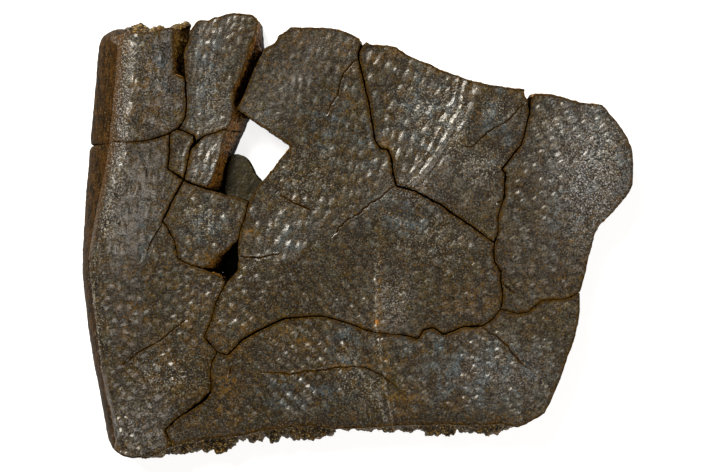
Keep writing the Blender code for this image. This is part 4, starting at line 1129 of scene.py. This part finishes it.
def ornamentTree():
    # raises the pebbles of the outer surface out of the smooth bone
    tree = bpy.data.node_groups.new("pebbledOrnament", 'GeometryNodeTree')
    tree.interface.new_socket("Geometry", in_out='INPUT', socket_type='NodeSocketGeometry')
    for label, value in ornament.items():
        socket = tree.interface.new_socket(label, in_out='INPUT', socket_type='NodeSocketFloat')
        socket.default_value = value
    for label in boneKinds:
        tree.interface.new_socket(label, in_out='INPUT', socket_type='NodeSocketMaterial')
    tree.interface.new_socket("Geometry", in_out='OUTPUT', socket_type='NodeSocketGeometry')
    given = addNode(tree, "NodeGroupInput").outputs
    stored = {}
    for label, kind in (("rowsA", 'FLOAT_VECTOR'), ("rowsB", 'FLOAT_VECTOR'), ("fieldMix", 'FLOAT'),
                        ("rise", 'FLOAT'), ("grainy", 'FLOAT'), ("boneKind", 'FLOAT')):
        stored[label] = addNode(tree, "GeometryNodeInputNamedAttribute", {"data_type": kind}, {"Name": label})

    place = addNode(tree, "GeometryNodeInputPosition")
    stray = addNode(tree, "ShaderNodeTexNoise", None,
                    {"Vector": place, "Scale": given["Strays"], "Detail": 1.0})
    stray = addNode(tree, "ShaderNodeVectorMath", {"operation": 'SCALE'},
                    {0: stray.outputs["Color"], "Scale": given["Stray"]})
    heights, strokes = [], []
    for label in ("rowsA", "rowsB"):
        rows = addNode(tree, "ShaderNodeSeparateXYZ", None, {0: stored[label]}).outputs
        flat = addNode(tree, "ShaderNodeCombineXYZ", None, {0: rows[0], 1: rows[1]})
        spot = addNode(tree, "ShaderNodeVectorMath", {"operation": 'ADD'}, {0: flat, 1: stray})
        cell = addNode(tree, "ShaderNodeTexVoronoi", {"voronoi_dimensions": '2D', "feature": 'F1'},
                       {"Vector": spot, "Scale": 1.0, "Randomness": rows[2]}).outputs
        dome = addNode(tree, "ShaderNodeMapRange", {"interpolation_type": 'SMOOTHSTEP'},
                       {0: cell["Distance"], 1: given["Crown"], 2: given["Flank"], 3: 1.0, 4: 0.0})
        lot = addNode(tree, "ShaderNodeSeparateXYZ", None, {0: cell["Color"]})
        lost = addNode(tree, "ShaderNodeMath", {"operation": 'MULTIPLY'}, {0: lot, 1: given["Unevenness"]})
        size = addNode(tree, "ShaderNodeMath", {"operation": 'SUBTRACT'}, {0: 1.0, 1: lost})
        heights.append(addNode(tree, "ShaderNodeMath", {"operation": 'MULTIPLY'}, {0: dome, 1: size}))
        strokes.append(addNode(tree, "ShaderNodeTexNoise", None,
                               {"Vector": spot, "Scale": given["Strokes"], "Detail": 1.5}))
    relief = addNode(tree, "ShaderNodeMix", {"data_type": 'FLOAT'},
                     {0: stored["fieldMix"], 2: heights[0], 3: heights[1]})
    grain = addNode(tree, "ShaderNodeMix", {"data_type": 'FLOAT'},
                    {0: stored["fieldMix"], 2: strokes[0], 3: strokes[1]})
    pits = addNode(tree, "ShaderNodeTexNoise", None,
                   {"Vector": place, "Scale": given["Pits"], "Detail": 1.0})
    pits = addNode(tree, "ShaderNodeMapRange", {"interpolation_type": 'SMOOTHSTEP'},
                   {0: pits, 1: 0.56, 2: 0.70})

    # height = (relief - Sunk) rise + ((grain - 0.5) Grain - pits Pitting) grainy, along the normal
    named = {"relief": relief, "grain": grain, "pits": pits, **stored,
             **{socket.name: socket for socket in given}}
    for name, operation, *terms in (
            ("above", 'SUBTRACT', "relief", "Sunk"), ("above", 'MULTIPLY', "above", "rise"),
            ("grain", 'SUBTRACT', "grain", 0.5), ("grain", 'MULTIPLY', "grain", "Grain"),
            ("pits", 'MULTIPLY', "pits", "Pitting"), ("skin", 'SUBTRACT', "grain", "pits"),
            ("height", 'MULTIPLY_ADD', "skin", "grainy", "above"),
            ("share", 'DIVIDE', "rise", "Full rise"), ("share", 'MINIMUM', "share", 1.0),
            ("share", 'MULTIPLY', "relief", "share")):
        sockets = {index: named.get(term, term) for index, term in enumerate(terms)}
        named[name] = addNode(tree, "ShaderNodeMath", {"operation": operation}, sockets)
    normal = addNode(tree, "GeometryNodeInputNormal")
    push = addNode(tree, "ShaderNodeVectorMath", {"operation": 'SCALE'},
                   {0: normal, "Scale": named["height"]})
    marked = addNode(tree, "GeometryNodeStoreNamedAttribute", {"data_type": 'FLOAT', "domain": 'POINT'},
                     {"Geometry": given["Geometry"], "Name": "relief", "Value": named["share"]})
    moved = addNode(tree, "GeometryNodeSetPosition", None, {"Geometry": marked, "Offset": push})
    result = addNode(tree, "GeometryNodeRealizeInstances", None, {0: moved})
    for number, label in enumerate(boneKinds):
        picked = addNode(tree, "ShaderNodeMath", {"operation": 'COMPARE'},
                         {0: stored["boneKind"], 1: float(number), 2: 0.5})
        result = addNode(tree, "GeometryNodeSetMaterial", None,
                         {"Geometry": result, "Selection": picked, "Material": given[label]})
    addNode(tree, "NodeGroupOutput", None, {0: result})
    return tree


def finishedMesh(piece, tree, inputs):
    # runs a tree on a piece, and keeps its result as a plain mesh
    modifier = piece.modifiers.new(tree.name, 'NODES')
    modifier.node_group = tree
    for socket in tree.interface.items_tree:
        if socket.item_type == 'SOCKET' and socket.in_out == 'INPUT' and socket.name in inputs:
            modifier[socket.identifier] = inputs[socket.name]
    graph = bpy.context.evaluated_depsgraph_get()
    mesh = bpy.data.meshes.new_from_object(piece.evaluated_get(graph))
    piece.modifiers.remove(modifier)
    old = piece.data
    piece.data = mesh
    bpy.data.meshes.remove(old)
    mesh.name = piece.name


# Materials
def newMaterial(name):
    material = bpy.data.materials.new(name)
    material.use_nodes = True
    material.node_tree.nodes.clear()
    return material, material.node_tree


def layeredColour(tree, place, look):
    # a base colour under layers: each has a colour, a strength, and masks whose product lets it
    # through. A mask is noise of a size in mm or a value stored on the mesh, then the level at
    # which it begins, the level at which it is full, and how the noise is stretched.
    colour = linearColour(look["base"])
    for code, strength, *masks in look["layers"]:
        share = strength
        for source, low, high, *stretch in masks:
            if isinstance(source, str):
                value = addNode(tree, "ShaderNodeAttribute", {"attribute_name": source}).outputs["Fac"]
            else:
                drawn = addNode(tree, "ShaderNodeMapping", None,
                                {0: place, "Scale": stretch or (1.0, 1.0, 1.0)})
                value = addNode(tree, "ShaderNodeTexNoise", None,
                                {"Vector": drawn, "Scale": 1000.0 / source, "Detail": 2.0})
            mask = addNode(tree, "ShaderNodeMapRange", None, {0: value, 1: low, 2: high})
            share = addNode(tree, "ShaderNodeMath", {"operation": 'MULTIPLY'}, {0: mask, 1: share})
        colour = addNode(tree, "ShaderNodeMix", {"data_type": 'RGBA'},
                         {0: share, 6: colour, 7: linearColour(code)}).outputs[2]
    return colour


# Sizes of the patterns are in mm. The real grain is finer than a tenth of a mm, too fine to show,
# so it is drawn at 0.3 to 0.8 mm.
cortexLook = {
    "base": "#291d05",
    "layers": [
        ("#372b08", 1.0, (6.0, 0.35, 0.65)),
        ("#382f0e", 0.8, (4.2, 0.50, 0.62)),                            # olive patches
        ("#3a464c", 1.0, (3.1, 0.44, 0.55), ("blueGreyAndSheen", -0.15, 0.65)),     # blue-grey tone, partly a painted sheen
        ("#543b0a", 1.0, (2.9, 0.46, 0.59), ("warm", -0.25, 0.80)),     # golden brown hollows
        ("#4f4c4a", 0.65, ("paintedGreySheen", 0.0, 1.0)),                          # painted grey sheen
        ("#130f03", 0.55, ("dull", 0.0, 1.0)),
        ("#170f04", 0.70, ("relief", 0.35, 0.0)),                       # painted shade in the furrows between the pebbles
        # painted sheen: the crowns of the pebbles are coloured lighter and blue-grey
        ("#43484a", 0.9, ("relief", 0.30, 0.95), (1.6, 0.38, 0.56), ("blueGreyAndSheen", -0.8, 0.6)),
        ("#080502", 0.80, (0.42, 0.49, 0.58)),                          # dark grain
        ("#98958a", 0.85, (0.36, 0.56, 0.64), ("paintedGlints", -0.25, 1.1)),    # painted glints, as pale grains
        ("#96969a", 0.90, (0.34, 0.56, 0.63), ("glinting", 0.0, 1.0)),  # painted glints: small bright specks
        # painted highlight along the sulcus and the scute lines
        ("#989484", 0.60, ("ridgeHighlight", 0.30, 0.95), (0.50, 0.42, 0.56)),
        ("#573e0a", 0.5, (0.66, 0.60, 0.68)),
        ("#6c4d10", 0.8, ("ochre", 0.0, 1.0), (0.82, 0.43, 0.62)),
        ("#b06a1c", 1.0, ("ochre", 0.86, 0.98), (0.5, 0.36, 0.50)),
        ("#432b08", 1.0, ("roll", 0.0, 0.8), (0.74, 0.26, 0.54, 1.0, 0.2, 0.5)),
        ("#3c290a", 0.8, ("lipGap", 0.0009, 0.0), (0.9, 0.36, 0.60)),   # brown margins
        # painted shade in the fine cracks
        ("#030201", 1.0, ("crackShade", 0.25, 0.85)),
    ],
    "glossPatch": 0.8, "gloss": (0.25, 0.35),
    "bumpSize": 0.32, "bumpDepth": 0.00009, "bump": (0.6, 0.2),         # plain, and where it is dull
    "coated": (0.00025, 0.00070), "shine": 0.5, "rollShine": 0.3, "ior": 1.50,
}


def cortexMaterial():
    # fossil cortical bone, smoothed by wear and coated with a thin consolidant: near black brown with
    # a partly painted blue-grey sheen on the pebbles, rusty hollows, painted shade in the furrows and small
    # sharp glints, partly painted
    look = cortexLook
    material, tree = newMaterial("coatedCorticalBone")
    place = addNode(tree, "ShaderNodeTexCoord").outputs["Object"]
    gloss, lumps = [addNode(tree, "ShaderNodeTexNoise", None,
                            {"Vector": place, "Scale": 1000.0 / size, "Detail": 2.0})
                    for size in (look["glossPatch"], look["bumpSize"])]
    dull, lipGap, roll = [addNode(tree, "ShaderNodeAttribute", {"attribute_name": name}).outputs["Fac"]
                          for name in ("dull", "lipGap", "roll")]
    # no glint along the lips of the cracks, where the coating has flaked, and little on the roll
    gloss, strength, coated, roll = [
        addNode(tree, "ShaderNodeMapRange", None, dict(enumerate((value, *levels))))
        for value, *levels in ((gloss, 0.36, 0.64, *look["gloss"]), (dull, 0.0, 1.0, *look["bump"]),
                               (lipGap, *look["coated"], 0.0, look["shine"]),
                               (roll, 0.0, 1.0, 1.0, look["rollShine"]))]
    bump = addNode(tree, "ShaderNodeBump", None,
                   {"Height": lumps, "Strength": strength, "Distance": look["bumpDepth"]})
    coated = addNode(tree, "ShaderNodeMath", {"operation": 'MULTIPLY'}, {0: coated, 1: roll})
    shader = addNode(tree, "ShaderNodeBsdfPrincipled", None,
                     {"Base Color": layeredColour(tree, place, look), "Roughness": gloss,
                      "IOR": look["ior"], "Specular IOR Level": coated, "Normal": bump})
    addNode(tree, "ShaderNodeOutputMaterial", None, {"Surface": shader})
    return material


# What all bare bone shares: lumps to a metre, their depth in metres, and how strongly it refracts
bareBone = {"lumps": 1500.0, "depth": 0.0004, "ior": 1.30}


def roughBone(name, look):
    # a bone surface without its cortex: browns in streaks, dark pores and bright grains
    material, tree = newMaterial(name)
    place = addNode(tree, "ShaderNodeTexCoord").outputs["Object"]
    relief = addNode(tree, "ShaderNodeTexNoise", None,
                     {"Vector": place, "Scale": bareBone["lumps"], "Detail": 3.0})
    bump = addNode(tree, "ShaderNodeBump", None,
                   {"Height": relief, "Strength": look["bump"], "Distance": bareBone["depth"]})
    shader = addNode(tree, "ShaderNodeBsdfPrincipled", None,
                     {"Base Color": layeredColour(tree, place, look), "Roughness": look["roughness"],
                      "IOR": bareBone["ior"], "Specular IOR Level": look["shine"], "Normal": bump})
    addNode(tree, "ShaderNodeOutputMaterial", None, {"Surface": shader})
    return material


# spongy bone where a fragment broke: fibrous and orange brown, with black pores; its orange browns and gold
# crystals are partly painted light, coloured brighter for walls the lamps leave in shade
brokenLook = {
    "base": "#1d130a",
    "layers": [
        ("#85581f", 1.0, (0.8, 0.36, 0.60, 1.0, 1.0, 0.2)),
        ("#98621e", 0.6, (1.4, 0.44, 0.62)),
        ("#0d0905", 0.80, (0.5, 0.48, 0.60)),
        ("#d4b26c", 0.6, (0.42, 0.58, 0.66)),
        ("#080503", 0.90, ("footShade", 0.30, 1.0)),                         # painted shade towards the foot
        ("#f0bf55", 1.0, ("ochre", 0.15, 0.7), (0.62, 0.43, 0.52)),     # gold crystals, partly painted light
    ],
    "bump": 1.0, "roughness": 0.5, "shine": 0.2,
}
# mineral-filled bone of the suture: dark, with clots of ochre earth between the pegs
sutureLook = {
    "base": "#15100a",
    "layers": [
        ("#463416", 1.0, (0.7, 0.36, 0.60)),
        ("#6e501c", 0.6, (1.4, 0.44, 0.62)),
        ("#060403", 0.9, (0.5, 0.46, 0.60)),
        ("#bda568", 0.75, (0.42, 0.58, 0.67)),
        ("#c79a3a", 1.0, ("ochre", 0.0, 1.0), (0.55, 0.46, 0.60)),
    ],
    "bump": 1.0, "roughness": 0.45, "shine": 0.25,
}
# the outside of the rolled rim: dull brown bone whose fibres run along the rim
rimLook = {
    "base": "#140d04",
    "layers": [
        ("#33210a", 1.0, (0.7, 0.36, 0.62, 1.0, 0.12, 0.45)),
        ("#432c0f", 0.5, (1.4, 0.44, 0.62)),
        ("#0b0804", 0.6, (0.5, 0.46, 0.60, 1.0, 0.3, 0.6)),
        ("#857250", 0.25, (0.42, 0.60, 0.68)),
    ],
    "bump": 0.7, "roughness": 0.55, "shine": 0.05,
}
# the joints, black with old glue and dirt
gluedLook = {
    "base": "#080604",
    "layers": [
        ("#1a1209", 1.0, (0.9, 0.36, 0.62, 1.0, 1.0, 0.4)),
        ("#4a3a22", 0.15, (0.42, 0.60, 0.68)),
    ],
    "bump": 0.7, "roughness": 0.7, "shine": 0.0,
}
# dense bone of the inner face and its ledges: smooth, dull and dark olive
innerLook = {
    "base": "#1e1b10",
    "layers": [
        ("#2d291a", 1.0, (2.4, 0.36, 0.62)),
        ("#33290f", 0.4, (1.4, 0.44, 0.62)),
        ("#100d07", 0.4, (0.5, 0.48, 0.62)),
        ("#4a4430", 0.3, (0.42, 0.60, 0.68)),
    ],
    "bump": 0.35, "roughness": 0.42, "shine": 0.3,
}


studio = {
    "floor": 4.0,               # side of the floor, in metres
    "paper": "#a8a8a8", "glow": 0.82, "world": 0.10,
    "lens": 85.0,
    "lamps": {                  # place, size, power and colour
        "topLeftSoftbox": ((-0.27, 0.38, 0.50), 0.28, 9.6, "#fff8ea"),
        "frontSoftbox": ((0.42, -0.30, 0.50), 0.34, 2.4, "#fff6ea"),
    },
}


def floorAndLight():
    bpy.ops.mesh.primitive_plane_add(size=studio["floor"], location=(0.0, 0.0, cadLow.z))
    floor = bpy.context.object
    floor.name = "floor"
    # matte white paper that glows a little, so that its ground stays as pale as the photo's
    material, tree = newMaterial("palePaper")
    shader = addNode(tree, "ShaderNodeBsdfPrincipled", None,
                     {"Base Color": linearColour(studio["paper"]), "Roughness": 0.9,
                      "Emission Color": linearColour("#ffffff"), "Emission Strength": studio["glow"]})
    addNode(tree, "ShaderNodeOutputMaterial", None, {"Surface": shader.outputs[0]})
    floor.data.materials.append(material)

    world = bpy.data.worlds.new("softStudio")
    bpy.context.scene.world = world
    world.use_nodes = True
    background = world.node_tree.nodes["Background"].inputs
    background["Color"].default_value = linearColour("#ffffff")
    background["Strength"].default_value = studio["world"]

    for name, (location, size, power, colour) in studio["lamps"].items():
        lamp = bpy.data.lights.new(name, 'AREA')
        lamp.size = size
        lamp.energy = power
        lamp.color = linearColour(colour)[:3]
        holder = bpy.data.objects.new(name, lamp)
        holder.location = location
        holder.rotation_euler = (-Vector(location)).to_track_quat('-Z', 'Y').to_euler()
        bpy.context.scene.collection.objects.link(holder)
    bpy.context.scene.view_settings.view_transform = 'Standard'


def lookDown():
    # straight down, with the photo's frame as wide as its drawing
    camera = bpy.data.cameras.new("camera")
    camera.lens = studio["lens"]
    width = drawing["wide"] * unit
    middle = toMetres(np.array([[drawing["wide"] / 2.0, drawing["high"] / 2.0]]))[0]
    holder = bpy.data.objects.new("camera", camera)
    holder.location = (middle[0], middle[1], shell["plate"] + width * camera.lens / camera.sensor_width)
    bpy.context.scene.collection.objects.link(holder)
    bpy.context.scene.camera = holder


boneKinds = {
    "Broken bone": roughBone("spongyBrokenBone", brokenLook),
    "Cortex": cortexMaterial(),
    "Suture bone": roughBone("mineralFilledSutureBone", sutureLook),
    "Rolled side": roughBone("fibrousRimBone", rimLook),
    "Inner bone": roughBone("denseInnerBone", innerLook),
    "Glued joint": roughBone("glueSoakedBone", gluedLook),
}
tree = ornamentTree()
for name, spec in fragments.items():
    piece = buildFragment(name)
    finishedMesh(piece, tree, {**ornament, **boneKinds})
    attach(piece, "root")
    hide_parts(spec["node"])
print("fragments are made")

floorAndLight()
lookDown()
print("floor, light and camera are set")
